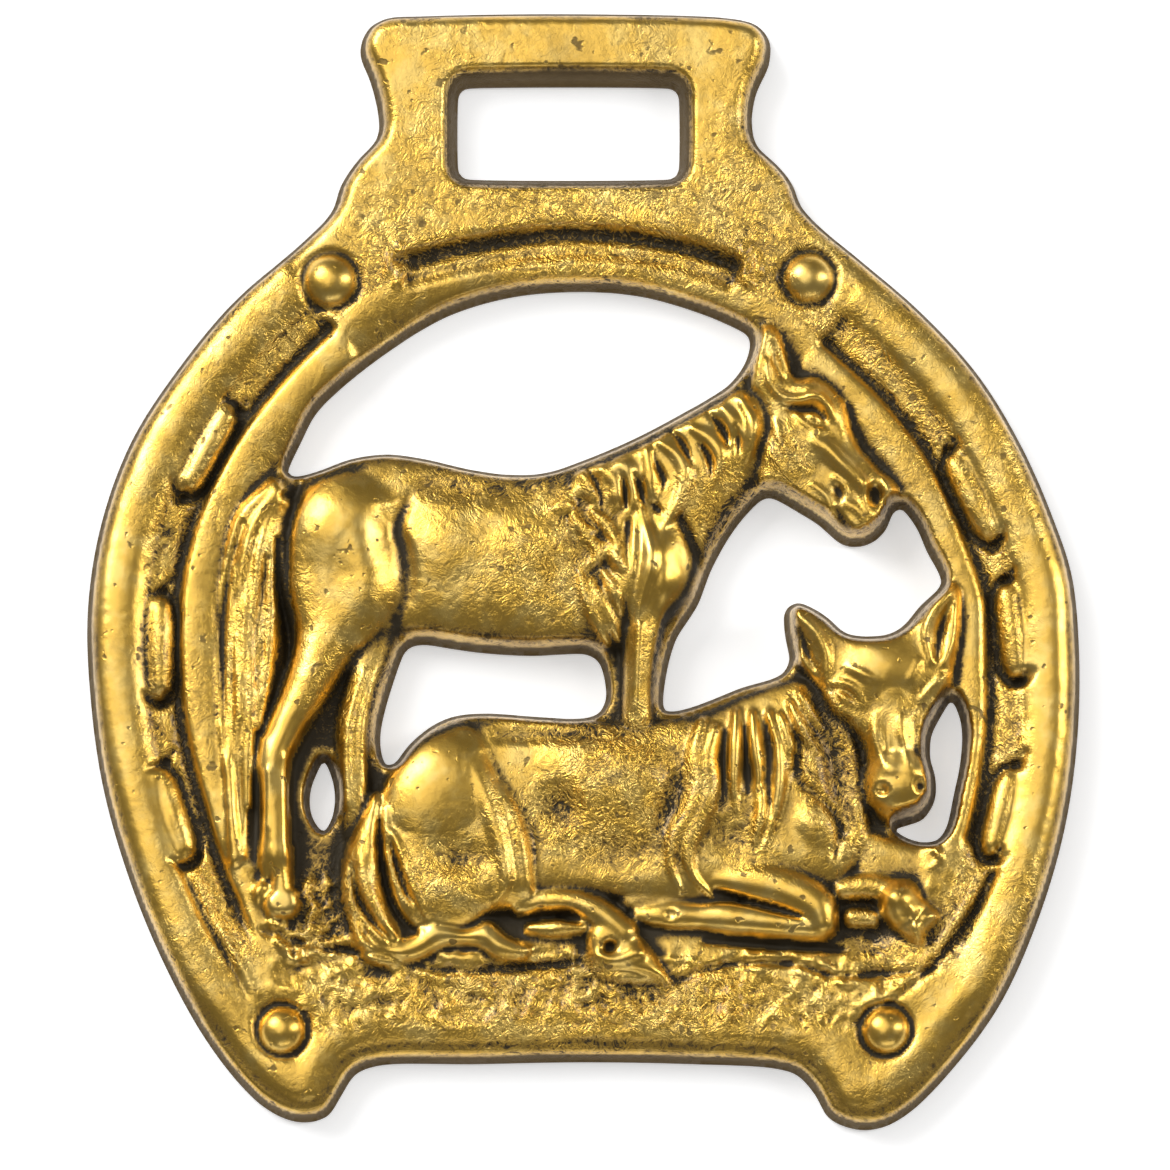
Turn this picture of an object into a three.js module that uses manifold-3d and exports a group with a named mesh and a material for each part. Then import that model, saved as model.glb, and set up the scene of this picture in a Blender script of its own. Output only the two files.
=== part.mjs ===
// Horse brass: mare and foal inside a horseshoe, one casting with a strap slot in its hanger.
// Millimetres, +Z up out of the face, +Y towards the hanger.  The back is flat on z = 0.
import * as THREE from 'three';
import Module from 'manifold-3d';

// ---------------------------------------------------------------- driving dimensions
const TALLER = 1.014;         // height of the casting over the height of the drawing below
const DRAFT = 0.6;            // how far every edge leans in from the back to the face
const LAND = 0.5;             // upright land at the foot of every edge
const SHOULDER = 3.0;         // height at which an edge stops leaning
const CUTTER_TOP = 8.0;       // the outline block stands clear of the tallest carving
const BLOCK_FLOOR = -2.0;     // the carved block reaches below the back
const RIM = 4.05;             // crown of the half-round outer rim
const PLATE = 3.65;           // hanger plate and the flats under the studs
const CREASE = 2.5;           // floor of the fullering groove
const BAND = 3.5;             // inner band between groove and field
const FIELD = 2.65;           // sunk ground behind the animals
const TURF = 3.3;             // strip of ground along the foot
const SHOE_CENTRE_Y = -6.2;   // bearings round the shoe are taken from here
const SLOT = { x: -1.3, y: 35.55, wide: 17.8, tall: 7.4, corner: 0.9 }; // strap slot at the back
const STUD = { base: 3.0, rise: 1.75, ringDepth: 0.45, ringWidth: 0.38, ringGap: 0.15 };
const STUDS = [[-20.4, 23.2, 2.2], [18, 23.4, 2.1], [-24.1, -36.4, 1.95], [24, -36.4, 1.95]];
const BAR = { base: 2.5, halfWidth: 1.15, rise: 1.15, fillet: 0.15 };
const BARS = [[-28.9, 12.3, -31.6, 7.3], [-34, -3.1, -34, -9], [-33.7, -16.8, -32, -21.9],
  [29.9, 8.4, 32.2, 3.6], [33.9, -2, 34.5, -7.4], [33.9, -16.8, 32.6, -21.6]];
const PIT = { radius: 0.8, depth: 0.6 };
const PITS = [[-27.7, 12.9], [-32.4, 5.7], [-33.7, -1.4], [-33.9, -10.5], [-33.4, -15],
  [-31.4, -23.4], [29.2, 9.8], [32.8, 1.9], [34.8, -8.7], [34.6, -15.2], [32.6, -22.8]];

// How finely it is worked out.
const CELL = 0.3;             // pitch of the carving grid
const SOFTEN = 1;             // passes that take off carving finer than the mesh can hold
const CARVE_POINTS = 3000;    // points spent on the carved face
const LEAST_ERROR = 0.004;    // the mesh is not refined below this
const OUTLINE_STEP = 0.35;    // spacing of points when an outline is drawn as a curve
const EDGE_TOL = 0.045;       // chord error allowed along the outlines
const EDGE_STEP = 2.6;        // longest chord along the outlines
const SLIVER = 0.05;          // cut edges shorter than this are closed up
const NEEDLE = 0.006;         // faces thinner than this have their long edge turned

// ---------------------------------------------------------------- outlines at the back
// Each is a smooth closed curve through the points where it bends.
const OUTLINES = {
  shoe: [[39.6, -6.2], [39.35, -1], [38.4, 2.4], [36.6, 7.1], [33.6, 13.2], [29.5, 18.6], [24.7, 23.2],
    [19.5, 27.5], [10.5, 31.6], [0, 33.1], [-10.5, 32], [-20.3, 29], [-25.7, 24.4], [-30.5, 19.4],
    [-34.6, 13.8], [-37.7, 7.5], [-39.5, 0.8], [-39.9, -6.2], [-39.3, -13.1], [-37.7, -19.9],
    [-35.5, -26.7], [-32.4, -33.4], [-28.2, -39.8], [-25.6, -42.4], [-22.7, -43.4], [-20.4, -42.5],
    [-20.4, -40], [-10, -38.8], [0, -38.6], [10, -38.8], [19, -40], [20.2, -43.1], [22.2, -44],
    [25.4, -43.1], [28.6, -40.3], [33.2, -34], [36.3, -27.2], [38.4, -20.2], [39.5, -13.2]],
  outer: [[39.65, -6.2], [39.1, 0], [37.7, 4.4], [35.2, 10.2], [31.7, 16], [27.2, 21], [22.1, 25.4],
    [19.2, 27.8], [17.5, 29.6], [16.7, 31.5], [15.7, 32.8], [13.9, 34.6], [13.5, 36.2], [13.75, 38.5],
    [14.9, 41.3], [14.9, 43], [14, 44.2], [12.4, 44.75], [0, 45.2], [-13.8, 45], [-16.1, 44.8],
    [-17.5, 43.9], [-18.1, 42.1], [-17.3, 39.8], [-16.7, 37.4], [-16.7, 35.3], [-18.5, 33.1],
    [-19.6, 31.4], [-20.4, 29.2], [-22.9, 26.6], [-28.2, 22], [-32.6, 16.7], [-36.4, 10.8],
    [-38.8, 4.2], [-39.85, -2.7], [-39.6, -9.7], [-38.6, -16.6], [-36.7, -23.3], [-34, -30],
    [-30.4, -36.6], [-27.1, -40.8], [-24.9, -42.6], [-22.6, -43.35], [-20.6, -42.9], [-19.4, -41.2],
    [-18.3, -39.6], [-16.6, -38.9], [-8.7, -38.75], [0, -38.6], [8.7, -38.75], [15.2, -39.1],
    [16.9, -39.6], [18.2, -40.9], [19.5, -43], [21.6, -43.9], [23.6, -43.8], [25.9, -42.6],
    [29.5, -39], [33.2, -34], [36.3, -27.2], [38.4, -20.2], [39.45, -13.2]],
  sky: [[-23.8, 8.3], [-23, 10.3], [-21.7, 12.9], [-19.8, 14.9], [-15.7, 18.1], [-11.2, 20.8],
    [-6.2, 22.35], [-0.9, 22.85], [4.4, 22.5], [9.1, 21.2], [12.2, 19.9], [13.1, 19.3], [13.3, 18.6],
    [13, 17.3], [12.3, 16.1], [11.2, 15], [8, 13.1], [4, 11], [0, 9.3], [-3, 8.3], [-5.7, 8.1],
    [-9, 8.5], [-13, 9.4], [-16, 9.75], [-19, 9.3], [-21.6, 8.35], [-23.3, 8]],
  belly: [[-14.3, -5.9], [-13.3, -5.45], [-11, -5.7], [-8, -6.1], [-4, -6.3], [-1, -6.15], [0.3, -6.25],
    [1.1, -6.8], [1.6, -8.2], [1.65, -10], [1, -11], [-0.4, -11.35], [-4, -11.2], [-8, -10.95],
    [-10.5, -11.2], [-12.3, -12], [-14, -13.4], [-15.3, -14.95], [-15.9, -15], [-16.3, -13.9],
    [-16.35, -12.5], [-15.9, -10.3], [-15.1, -7.8]],
  neckGap: [[14.7, 6.3], [17, 5.25], [19, 4], [20.6, 2.65], [21.8, 2.4], [23.1, 2.75], [24.2, 3.8],
    [24.8, 5.1], [25.4, 5.4], [26.6, 4], [27.5, 2], [28.6, -0.2], [28.5, -0.8], [26.9, -2.4],
    [25.5, -4], [24.4, -4.6], [22.6, -4.8], [20.9, -4.5], [19.6, -3.4], [18.2, -2.5], [17, -2.15],
    [16.1, -2.8], [16.1, -4.8], [16.4, -6.7], [15.8, -7.8], [12.6, -8.9], [9.3, -10.2], [7.4, -10.75],
    [6.5, -10.7], [6.3, -10.2], [6.6, -7.6], [7.3, -5.1], [9.1, -2.2], [10.1, 0.4], [11.7, 3.3],
    [13.4, 5.4]],
  muzzleGap: [[29.4, -10], [30.1, -11.4], [30.2, -14], [29.6, -17.2], [28.9, -20.1], [28.2, -21],
    [27.2, -21.2], [25.9, -20.9], [24.9, -20.2], [25.8, -19.85], [27.1, -19.3], [28, -17.9],
    [28.1, -16.2], [27.7, -14.6], [27.8, -12.7], [28.6, -11.1]],
  legSlit: [[-20.9, -14.8], [-20.3, -15.9], [-20, -17.5], [-20.2, -19.2], [-20.9, -20.3], [-21.6, -19.6],
    [-22, -18.3], [-21.9, -16.9], [-21.5, -15.8]],
};
const WINDOWS = ['sky', 'belly', 'neckGap', 'muzzleGap', 'legSlit'];

// ---------------------------------------------------------------- mouldings, [distance in, height]
const SHOULDER_MOULD = [[0, 2.9], [0.5, 3.1], [1.2, 3.6], [2, PLATE + 0.2], [2.8, PLATE + 0.22],
  [4, PLATE + 0.05], [5.5, PLATE]];
const GROOVED_MOULD = [[0, 2.9], [0.6, 3.25], [1.2, 3.75], [1.9, 4], [2.5, RIM], [3.2, 3.95], [4, 3.6],
  [4.25, 3.5], [4.55, 3], [4.9, 2.75], [6.6, 2.7], [7.1, CREASE], [7.5, 2.75], [8, BAND - 0.1],
  [8.7, BAND], [9.5, 3.2], [10.4, 2.8], [11.4, FIELD]];
const CLOSED_MOULD = [[0, 2.9], [0.6, 3.25], [1.2, 3.75], [1.9, 4], [2.5, RIM], [4.2, PLATE + 0.1],
  [5.5, PLATE]];
const FLAT_MOULD = [[0, PLATE], [7.8, PLATE], [8.6, PLATE - 0.1], [9.6, 3.3], [10.8, 2.85], [12, FIELD]];
const TOP_MOULD = [[0, PLATE], [5, PLATE], [5.5, 3.2], [5.9, 2.65], [6.4, 2.45], [7.1, 2.55], [7.7, 3],
  [8.2, 3.45], [9, 3.5], [10, 3.35]];
const FOOT_MOULD = [[0, 2.9], [1.1, 3.05], [2, 3.5], [3.2, 3.65], [5, 3.45]];
const GROOVES = [[128, 221], [-41, 52.5]]; // bearings in degrees that each side groove runs between
const TOP_GROOVE = [67.5, 116];
const HANGER = [58, 122];

// ---------------------------------------------------------------- small maths
const clamp = (x, low, high) => Math.min(high, Math.max(low, x));
const mix = (a, b, t) => a + (b - a) * t;
const apart = (p, q) => Math.hypot(q[0] - p[0], q[1] - p[1]);

function ease(x) {
  const t = clamp(x, 0, 1);
  return t * t * (3 - 2 * t);
}

// The larger of two heights, rounded over where they are within `blend` of each other.
function softMax(a, b, blend) {
  const near = Math.max(blend - Math.abs(a - b), 0) / blend;
  return Math.max(a, b) + near * near * blend / 4;
}

// Cubic Hermite between two values with their slopes, t from 0 to 1.
function hermite(a, b, slopeA, slopeB, t) {
  const t2 = t * t;
  const t3 = t2 * t;
  const share = 3 * t2 - 2 * t3;
  return (1 - share) * a + share * b + (t3 - 2 * t2 + t) * slopeA + (t3 - t2) * slopeB;
}

// Monotone cubic through [x, y] rows, used for every moulding.
function section(rows) {
  const last = rows.length - 1;
  const rise = (i) => (rows[i + 1][1] - rows[i][1]) / (rows[i + 1][0] - rows[i][0]);
  const slopes = rows.map((row, i) => {
    if (i === 0 || i === last) return 0;
    const before = rise(i - 1);
    const after = rise(i);
    return before * after > 0 ? 2 * before * after / (before + after) : 0;
  });
  return (x) => {
    if (x <= rows[0][0]) return rows[0][1];
    if (x >= rows[last][0]) return rows[last][1];
    let i = 0;
    while (x > rows[i + 1][0]) i++;
    const [from, to] = [rows[i], rows[i + 1]];
    const span = to[0] - from[0];
    return hermite(from[1], to[1], span * slopes[i], span * slopes[i + 1], (x - from[0]) / span);
  };
}

// Centripetal Catmull-Rom through rows of any width, one point about every `step`.
function spline(rows, closed, step) {
  const n = rows.length;
  const at = (i) => (closed ? rows[(i + n) % n] : rows[clamp(i, 0, n - 1)]);
  const knot = (u, v) => Math.max(Math.sqrt(apart(u, v)), 1e-6);
  const out = [];
  for (let i = 0; i < (closed ? n : n - 1); i++) {
    const [a, b, c, d] = [at(i - 1), at(i), at(i + 1), at(i + 2)];
    const [ab, bc, cd] = [knot(a, b), knot(b, c), knot(c, d)];
    const count = Math.max(1, Math.ceil(apart(b, c) / step));
    const slopes = b.map((v, j) => {
      const bend = a === b ? 0 : bc * ((v - a[j]) / ab - (c[j] - a[j]) / (ab + bc));
      const nextBend = c === d ? 0 : bc * ((d[j] - c[j]) / cd - (d[j] - v) / (bc + cd));
      return [c[j] - v + bend, c[j] - v + nextBend];
    });
    for (let k = 0; k < count; k++) out.push(b.map((v, j) => hermite(v, c[j], ...slopes[j], k / count)));
  }
  if (!closed) out.push(rows[n - 1].slice());
  return out;
}

// Rounded rectangle, anticlockwise, with `arc` chords to each corner.
function roundRect({ x, y, wide, tall, corner }, arc = 4) {
  const out = [];
  for (const [sx, sy, from] of [[1, -1, -90], [1, 1, 0], [-1, 1, 90], [-1, -1, 180]]) {
    for (let i = 0; i <= arc; i++) {
      const turn = THREE.MathUtils.degToRad(from + 90 * i / arc);
      out.push([x + sx * (wide / 2 - corner) + corner * Math.cos(turn),
        y + sy * (tall / 2 - corner) + corner * Math.sin(turn)]);
    }
  }
  return out;
}

// Cross-sections of strokes and mounds: u is 0 in the middle and 1 at the edge.
const PROFILES = {
  round: (u) => Math.sqrt(Math.max(0, 1 - u * u)),
  soft: (u) => (1 - u * u) * (1 - u * u),
  dome: (u) => 1 - u * u,
};

// Rows [x, y, half-width, height] from bare points, width and height running from first to last.
function strand(points, width, height) {
  return points.map(([x, y], i) => {
    const t = i / (points.length - 1);
    return [x, y, mix(width[0], width[1], t), mix(height[0], height[1], t)];
  });
}

// Rows of a leaf-shaped lock, fullest at `peak` of its length and pointed at its tip.
function flame(points, width, height, peak = 0.45) {
  const power = Math.log(0.5) / Math.log(peak);
  return points.map(([x, y], i) => {
    const t = i / (points.length - 1);
    const swell = Math.max(Math.sin(Math.PI * t ** power), t < peak ? 0.45 : 0.18);
    return [x, y, width * swell, height * Math.sqrt(swell)];
  });
}

// ---------------------------------------------------------------- carving grid
class Relief {
  constructor(x0, y0, x1, y1, cell) {
    this.x0 = x0;
    this.y0 = y0;
    this.cell = cell;
    this.nx = Math.round((x1 - x0) / cell) + 1;
    this.ny = Math.round((y1 - y0) / cell) + 1;
    this.z = new Float64Array(this.nx * this.ny);
  }

  // Calls fn(index, x, y) for every grid point in a box.
  each(xa, ya, xb, yb, fn) {
    const i0 = clamp(Math.ceil((xa - this.x0) / this.cell), 0, this.nx);
    const i1 = clamp(Math.floor((xb - this.x0) / this.cell) + 1, 0, this.nx);
    const j0 = clamp(Math.ceil((ya - this.y0) / this.cell), 0, this.ny);
    const j1 = clamp(Math.floor((yb - this.y0) / this.cell) + 1, 0, this.ny);
    for (let j = j0; j < j1; j++) {
      for (let i = i0; i < i1; i++) fn(j * this.nx + i, this.x0 + i * this.cell, this.y0 + j * this.cell);
    }
  }

  all(fn) {
    this.each(-Infinity, -Infinity, Infinity, Infinity, fn);
  }

  // Signed distance to a closed loop, positive inside, cut off at `limit`.
  distance(loop, limit) {
    const d = new Float64Array(this.z.length).fill(limit);
    const inside = new Uint8Array(this.z.length);
    loop.forEach((a, i) => {
      const b = loop[(i + 1) % loop.length];
      const [dx, dy] = [b[0] - a[0], b[1] - a[1]];
      const [left, right] = [Math.min(a[0], b[0]), Math.max(a[0], b[0])];
      const [low, high] = [Math.min(a[1], b[1]), Math.max(a[1], b[1])];
      this.each(-Infinity, low - 1e-9, right + 1, high + 1e-9, (k, x, y) => {
        if ((a[1] > y) !== (b[1] > y) && x < dx * (y - a[1]) / dy + a[0]) inside[k] ^= 1;
      });
      this.each(left - limit, low - limit, right + limit, high + limit, (k, x, y) => {
        d[k] = Math.min(d[k], segmentDistance([x, y], a, b)[0]);
      });
    });
    return d.map((v, k) => (inside[k] ? v : -v));
  }

  // Height of a stroke of [x, y, half-width, height] rows at each point near it.
  path(rows, kind, fn) {
    const line = spline(rows, false, 0.5);
    const wide = Math.max(...line.map((r) => r[2]));
    const sign = line.reduce((sum, r) => sum + r[3], 0) < 0 ? -1 : 1;
    const low = [0, 1].map((axis) => Math.min(...line.map((r) => r[axis])) - wide);
    const high = [0, 1].map((axis) => Math.max(...line.map((r) => r[axis])) + wide);
    this.each(...low, ...high, (k, x, y) => {
      let best = 0;
      for (let i = 0; i + 1 < line.length; i++) {
        const [a, b] = [line[i], line[i + 1]];
        const [off, t] = segmentDistance([x, y], a, b);
        const u = off / mix(a[2], b[2], t);
        if (u < 1) best = Math.max(best, PROFILES[kind](u) * sign * mix(a[3], b[3], t));
      }
      if (best > 0) fn(k, best * sign);
    });
  }

  // Adds a stroke to the surface, or cuts it where its heights are negative.
  stroke(rows, kind = 'soft') {
    this.path(rows, kind, (k, h) => { this.z[k] += h; });
  }

  // Adds the highest of several strokes, so that a crease stays where two of them meet.
  group(strokes, kind = 'soft') {
    const tallest = new Float64Array(this.z.length);
    strokes.forEach((rows) => this.path(rows, kind, (k, h) => { tallest[k] = Math.max(tallest[k], h); }));
    tallest.forEach((h, k) => { this.z[k] += h; });
  }

  // Joins a rounded limb that stands on `base`.
  limb(base, rows, blend = 0.3, kind = 'round') {
    this.path(rows, kind, (k, h) => { this.z[k] = softMax(this.z[k], base + h, blend); });
  }

  // An elliptical swelling, or a hollow where `rise` is negative.
  mound([cx, cy], [rx, ry], turn, rise, kind = 'soft') {
    const reach = Math.max(rx, ry);
    const [c, s] = [Math.cos(THREE.MathUtils.degToRad(turn)), Math.sin(THREE.MathUtils.degToRad(turn))];
    this.each(cx - reach, cy - reach, cx + reach, cy + reach, (k, x, y) => {
      const u = Math.hypot(((x - cx) * c + (y - cy) * s) / rx, ((y - cy) * c - (x - cx) * s) / ry);
      if (u < 1) this.z[k] += PROFILES[kind](u) * rise;
    });
  }

  // A body: the outline swells from `base` by `rise` over the first `reach` in from its edge.
  body(outline, base, rise, reach, blend = 0.3) {
    this.distance(spline(outline, true, 0.6), reach + 0.5).forEach((d, k) => {
      if (d <= 0) return;
      const u = 1 - clamp(d / reach, 0, 1);
      this.z[k] = softMax(this.z[k], base + rise * Math.sqrt(1 - u * u), blend);
    });
  }

  // Mixes every height with its four neighbours.
  soften(passes) {
    for (let pass = 0; pass < passes; pass++) {
      const old = this.z.slice();
      for (let j = 1; j < this.ny - 1; j++) {
        for (let i = 1; i < this.nx - 1; i++) {
          const k = j * this.nx + i;
          this.z[k] = old[k] / 2 + (old[k - 1] + old[k + 1] + old[k - this.nx] + old[k + this.nx]) / 8;
        }
      }
    }
  }
}

// Distance from p to the segment a-b, and how far along the segment its nearest point lies.
function segmentDistance(p, a, b) {
  const [dx, dy] = [b[0] - a[0], b[1] - a[1]];
  const t = clamp(((p[0] - a[0]) * dx + (p[1] - a[1]) * dy) / Math.max(dx * dx + dy * dy, 1e-12), 0, 1);
  return [Math.hypot(p[0] - a[0] - t * dx, p[1] - a[1] - t * dy), t];
}

// ---------------------------------------------------------------- the shoe and hanger
// 1 between two bearings, easing to 0 over `soft` degrees.
function sector(turn, [start, stop], soft) {
  return ease((turn - start) / soft + 0.5) * ease((stop - turn) / soft + 0.5);
}

function carveShoe(r) {
  const fromShoe = r.distance(spline(OUTLINES.shoe, true, 0.9), 13);
  const fromEdge = r.distance(spline(OUTLINES.outer, true, 0.9), 7);
  const [shoulder, grooved, closed] = [SHOULDER_MOULD, GROOVED_MOULD, CLOSED_MOULD].map(section);
  const [flat, under, foot] = [FLAT_MOULD, TOP_MOULD, FOOT_MOULD].map(section);
  r.all((k, x, y) => {
    const bearing = THREE.MathUtils.radToDeg(Math.atan2(y - SHOE_CENTRE_Y, x));
    const turn = bearing < -90 ? bearing + 360 : bearing;
    const d = fromShoe[k];
    const edge = shoulder(fromEdge[k]);
    const open = Math.max(...GROOVES.map((arc) => sector(turn, arc, 1.6)));
    const shut = d > 6 ? flat(d) : Math.min(edge, softMax(closed(d), flat(d) - 0.05, 0.2));
    let z = mix(shut, grooved(d), open);
    z = mix(z, Math.min(edge, flat(d)), sector(turn, HANGER, 10));
    z = mix(z, Math.min(z, under(d)), sector(turn, TOP_GROOVE, 1.4));
    z = mix(z, Math.min(z, foot(fromEdge[k])), ease((-33 - y) / 4));
    z = mix(z, FIELD, ease((d - 9.6) / 1.2));
    r.z[k] = mix(z, TURF, ease((-30.2 - y) / 1.2) * ease(d - 8));
  });
}

function carveNailBars(r) {
  for (const [x0, y0, x1, y1] of BARS) {
    const ends = [[x0, y0], [x1, y1]].map((end) => [...end, BAR.halfWidth, BAR.rise]);
    r.limb(BAR.base, ends, BAR.fillet);
  }
  PITS.forEach((pit) => r.mound(pit, [PIT.radius, PIT.radius], 0, -PIT.depth));
}

function carveStuds(r) {
  for (const [x, y, radius] of STUDS) {
    r.each(x - 2 * radius, y - 2 * radius, x + 2 * radius, y + 2 * radius, (k, px, py) => {
      const q = Math.hypot(px - x, py - y);
      r.z[k] -= STUD.ringDepth * Math.exp(-(((q - radius - STUD.ringGap) / STUD.ringWidth) ** 2));
      if (q < radius) r.z[k] = Math.max(r.z[k], STUD.base + STUD.rise * Math.sqrt(1 - (q / radius) ** 2));
    });
  }
}

// ---------------------------------------------------------------- the mare
const MARE = {
  trunk: [[-23.2, 5.6], [-21.5, 8.2], [-17, 9.4], [-13, 9.2], [-9, 8.2], [-5.7, 7.6], [-2, 8.5],
    [2, 10.1], [6, 11.8], [10, 13.9], [12.8, 16], [14.8, 13], [15.2, 8.5], [13.4, 6.4], [11, 3.9],
    [9.6, 1], [9.2, -1], [7.9, -2.5], [6.2, -4.3], [3, -6], [-1, -6.2], [-6, -6.2], [-11, -5.6],
    [-14.8, -5], [-18, -6], [-22, -4], [-23.2, 0]],
  haunch: [[-23.5, 3.4], [-22.2, 6.4], [-19.4, 7.9], [-16.4, 7.3], [-14.4, 5.4], [-15.5, 2.9], [-15, 1.2],
    [-15, -2], [-16.2, -4.6], [-18.6, -6.6], [-21.6, -6.4], [-23.4, -2.6]],
  head: [[13.2, 14.4], [13.5, 17], [14.4, 19.7], [15.4, 19.4], [16.3, 17.2], [16.8, 15.6], [18.6, 15.5],
    [20, 14.6], [21.2, 12.9], [21.7, 11.1], [22.5, 9.5], [23.9, 7.9], [25, 7], [25.4, 5.4], [25, 3.4],
    [23.4, 1.9], [21.4, 1.6], [19.7, 2.4], [18, 4.1], [15.8, 5.5], [13.9, 6.5], [13.7, 9.2], [14.3, 11.4],
    [13.9, 13]],
  locks: [
    [[13.6, 14.4], [12.4, 14], [11.2, 13.4]],
    [[12.2, 13.2], [13.1, 12.2], [13.2, 10.2]],
    [[10.9, 13], [12.1, 11.4], [12.8, 9.6], [12.4, 7.8]],
    [[9.4, 12.4], [10.9, 11.5], [11.5, 9.7]],
    [[8.3, 11.2], [9.9, 10.4], [10.8, 9], [10.3, 7.2], [9.4, 5.9]],
    [[7.2, 11.2], [8.2, 9.8], [8.9, 8], [8.8, 6.4]],
    [[5.7, 10.6], [7.3, 9.2], [8.1, 7.3], [7.4, 5.2], [6.1, 3]],
    [[4.7, 9.9], [5.7, 8.1], [6.3, 6.3], [5.6, 4.4]],
    [[3.4, 9.6], [4.5, 8], [4.9, 6.2], [4.3, 3.8]],
    [[1.9, 8.6], [3.3, 7.6], [3.7, 5.8], [3.2, 3.9]],
    [[1, 8.6], [2.1, 7], [2, 5]],
    [[-0.2, 8.1], [0.8, 6.6], [1.3, 4.7]],
    [[-1.4, 7.6], [-0.5, 6.2], [0.4, 4.6], [0.9, 3.2]],
    [[-0.6, 6.4], [-1.6, 5.2], [-3, 4.6]],
  ],
  folds: [
    [[-0.9, 4.2], [-0.2, 2.2], [1, 1], [2.8, 0.6]],
    [[1.4, 4.2], [2.1, 2.4], [3, 0.8]],
    [[0, -0.4], [0.9, -2.4], [2.1, -4.4], [3, -4.8]],
    [[-0.2, -1.2], [0.6, -3.6], [1.5, -5.2], [2.4, -6.6]],
    [[1.3, -0.6], [2.1, -2], [3, -3.6]],
  ],
  strands: [
    [[-25, 6.9], [-27.3, 4.4], [-28.4, 0], [-28.8, -6], [-28.7, -12], [-28.2, -18], [-27.9, -23]],
    [[-24.7, 6.2], [-26.7, 3], [-27.4, -3], [-27.6, -10], [-27.5, -17], [-27.4, -22.6]],
    [[-24.5, 5.4], [-25.8, 2], [-26.2, -3], [-26.5, -8], [-26.8, -14], [-26.9, -18.5]],
    [[-24.2, 4.6], [-25, 1], [-25, -4], [-25.3, -8], [-26, -12.4]],
    [[-23.8, 5.2], [-24.1, 2], [-23.7, -1.5], [-22.9, -4.6], [-22.8, -7.6], [-23.6, -10.4]],
  ],
};

// Far hind leg, trunk, haunch and the muscles between them.
function carveMareBody(r) {
  r.limb(2.8, [[-16.8, -5, 1.9, 1], [-17.7, -9, 1.4, 1.1], [-18.5, -12.6, 1.45, 1.3],
    [-18.5, -15.5, 1.25, 1.2], [-18.3, -18.6, 1.2, 1.1], [-18.2, -20.6, 1.1, 0.7]]);
  r.group([[[-17.6, -8, 0.5, 0.25], [-18.9, -12.4, 0.5, 0.35], [-18.9, -18.6, 0.45, 0.25]]]);
  r.body(MARE.trunk, 2.9, 1.75, 4.4, 0.35);
  r.mound([-7.5, 1.4], [9.5, 6.8], 0, 0.6);
  r.mound([-12.2, 2.6], [3, 4.2], 8, 0.35);
  r.mound([-4, 2], [4.2, 3.4], 15, 0.35);
  r.stroke([[-13, 6.6, 1.3, -0.25], [-8, 6, 1.3, -0.25], [-4.5, 6.2, 1, -0.15]]);
  r.body(MARE.haunch, 3.7, 1.5, 3.4, 0.28);
  r.mound([-19.8, 4], [4.2, 3.8], -10, 0.45);
  r.mound([-16.6, 5], [2, 2.2], 20, 0.35);
  r.mound([-17, -0.6], [1.9, 3.6], 3, 0.5);
  r.mound([-20.6, -0.6], [2.4, 3.2], 10, 0.3);
  r.mound([-18.4, 2.9], [1.5, 1], 15, -0.4);
  r.mound([-16.5, 2.5], [1.1, 0.7], -20, -0.35);
}

// Near hind leg down to its hoof, foreleg, shoulder and chest.
function carveMareLegs(r) {
  r.limb(3, [[-19.6, -2.5, 3.6, 1.9], [-20.8, -6, 2.5, 2.2], [-22.4, -9.6, 1.9, 2.2],
    [-24, -12.8, 1.6, 2.1], [-24.8, -15, 1.5, 2.1], [-24.75, -18, 1.3, 1.95], [-24.7, -21, 1.35, 1.95],
    [-24.7, -22.6, 1.5, 1.9]], 0.35);
  r.limb(3.2, [[-25.3, -13.6, 0.8, 1.4], [-25.7, -15.6, 0.7, 1.2]], 0.5);
  r.limb(3, [[-24.6, -22.4, 1.5, 1.9], [-24.2, -24.2, 1, 1.6], [-24.1, -25.4, 1.05, 1.6]], 0.2);
  r.limb(3, [[-25.6, -23.2, 0.6, 1.3], [-25.3, -24.1, 0.5, 1.1]], 0.2);
  r.body([[-25.4, -25.6], [-24.6, -25.2], [-23.1, -25.1], [-22.6, -26.6], [-23.3, -27.6], [-25.2, -27.5],
    [-25.7, -26.6]], 3.3, 1.3, 0.9, 0.15);
  r.group([[[-23.9, -15, 0.45, 0.25], [-23.9, -19, 0.4, 0.3], [-23.8, -23, 0.4, 0.2]]]);
  r.limb(3, [[4.9, -1, 2.6, 1.9], [4.7, -4, 1.75, 1.9], [4.35, -8, 1.35, 1.6],
    [4.2, -11.6, 1.3, 1.2]], 0.4);
  r.group([[[4.4, -4.5, 0.5, 0.4], [4.1, -11, 0.5, 0.3]]]);
  r.mound([6.4, 0.4], [2.5, 4.2], 6, 0.9, 'dome');
  r.mound([5.8, 2.4], [1.8, 2.4], -10, 0.35);
  r.stroke([[8.6, 2.6, 0.9, -0.8], [9.1, 0.6, 0.9, -0.9], [8.7, -1.6, 0.8, -0.6]]);
  r.stroke([[3.9, 3.6, 0.55, -0.35], [3.6, 1.2, 0.6, -0.45], [3.3, -1.4, 0.6, -0.4],
    [3.5, -3.6, 0.5, -0.3]]);
  r.mound([11.2, 8.4], [4.8, 2.8], 46, 0.35);
}

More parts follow.
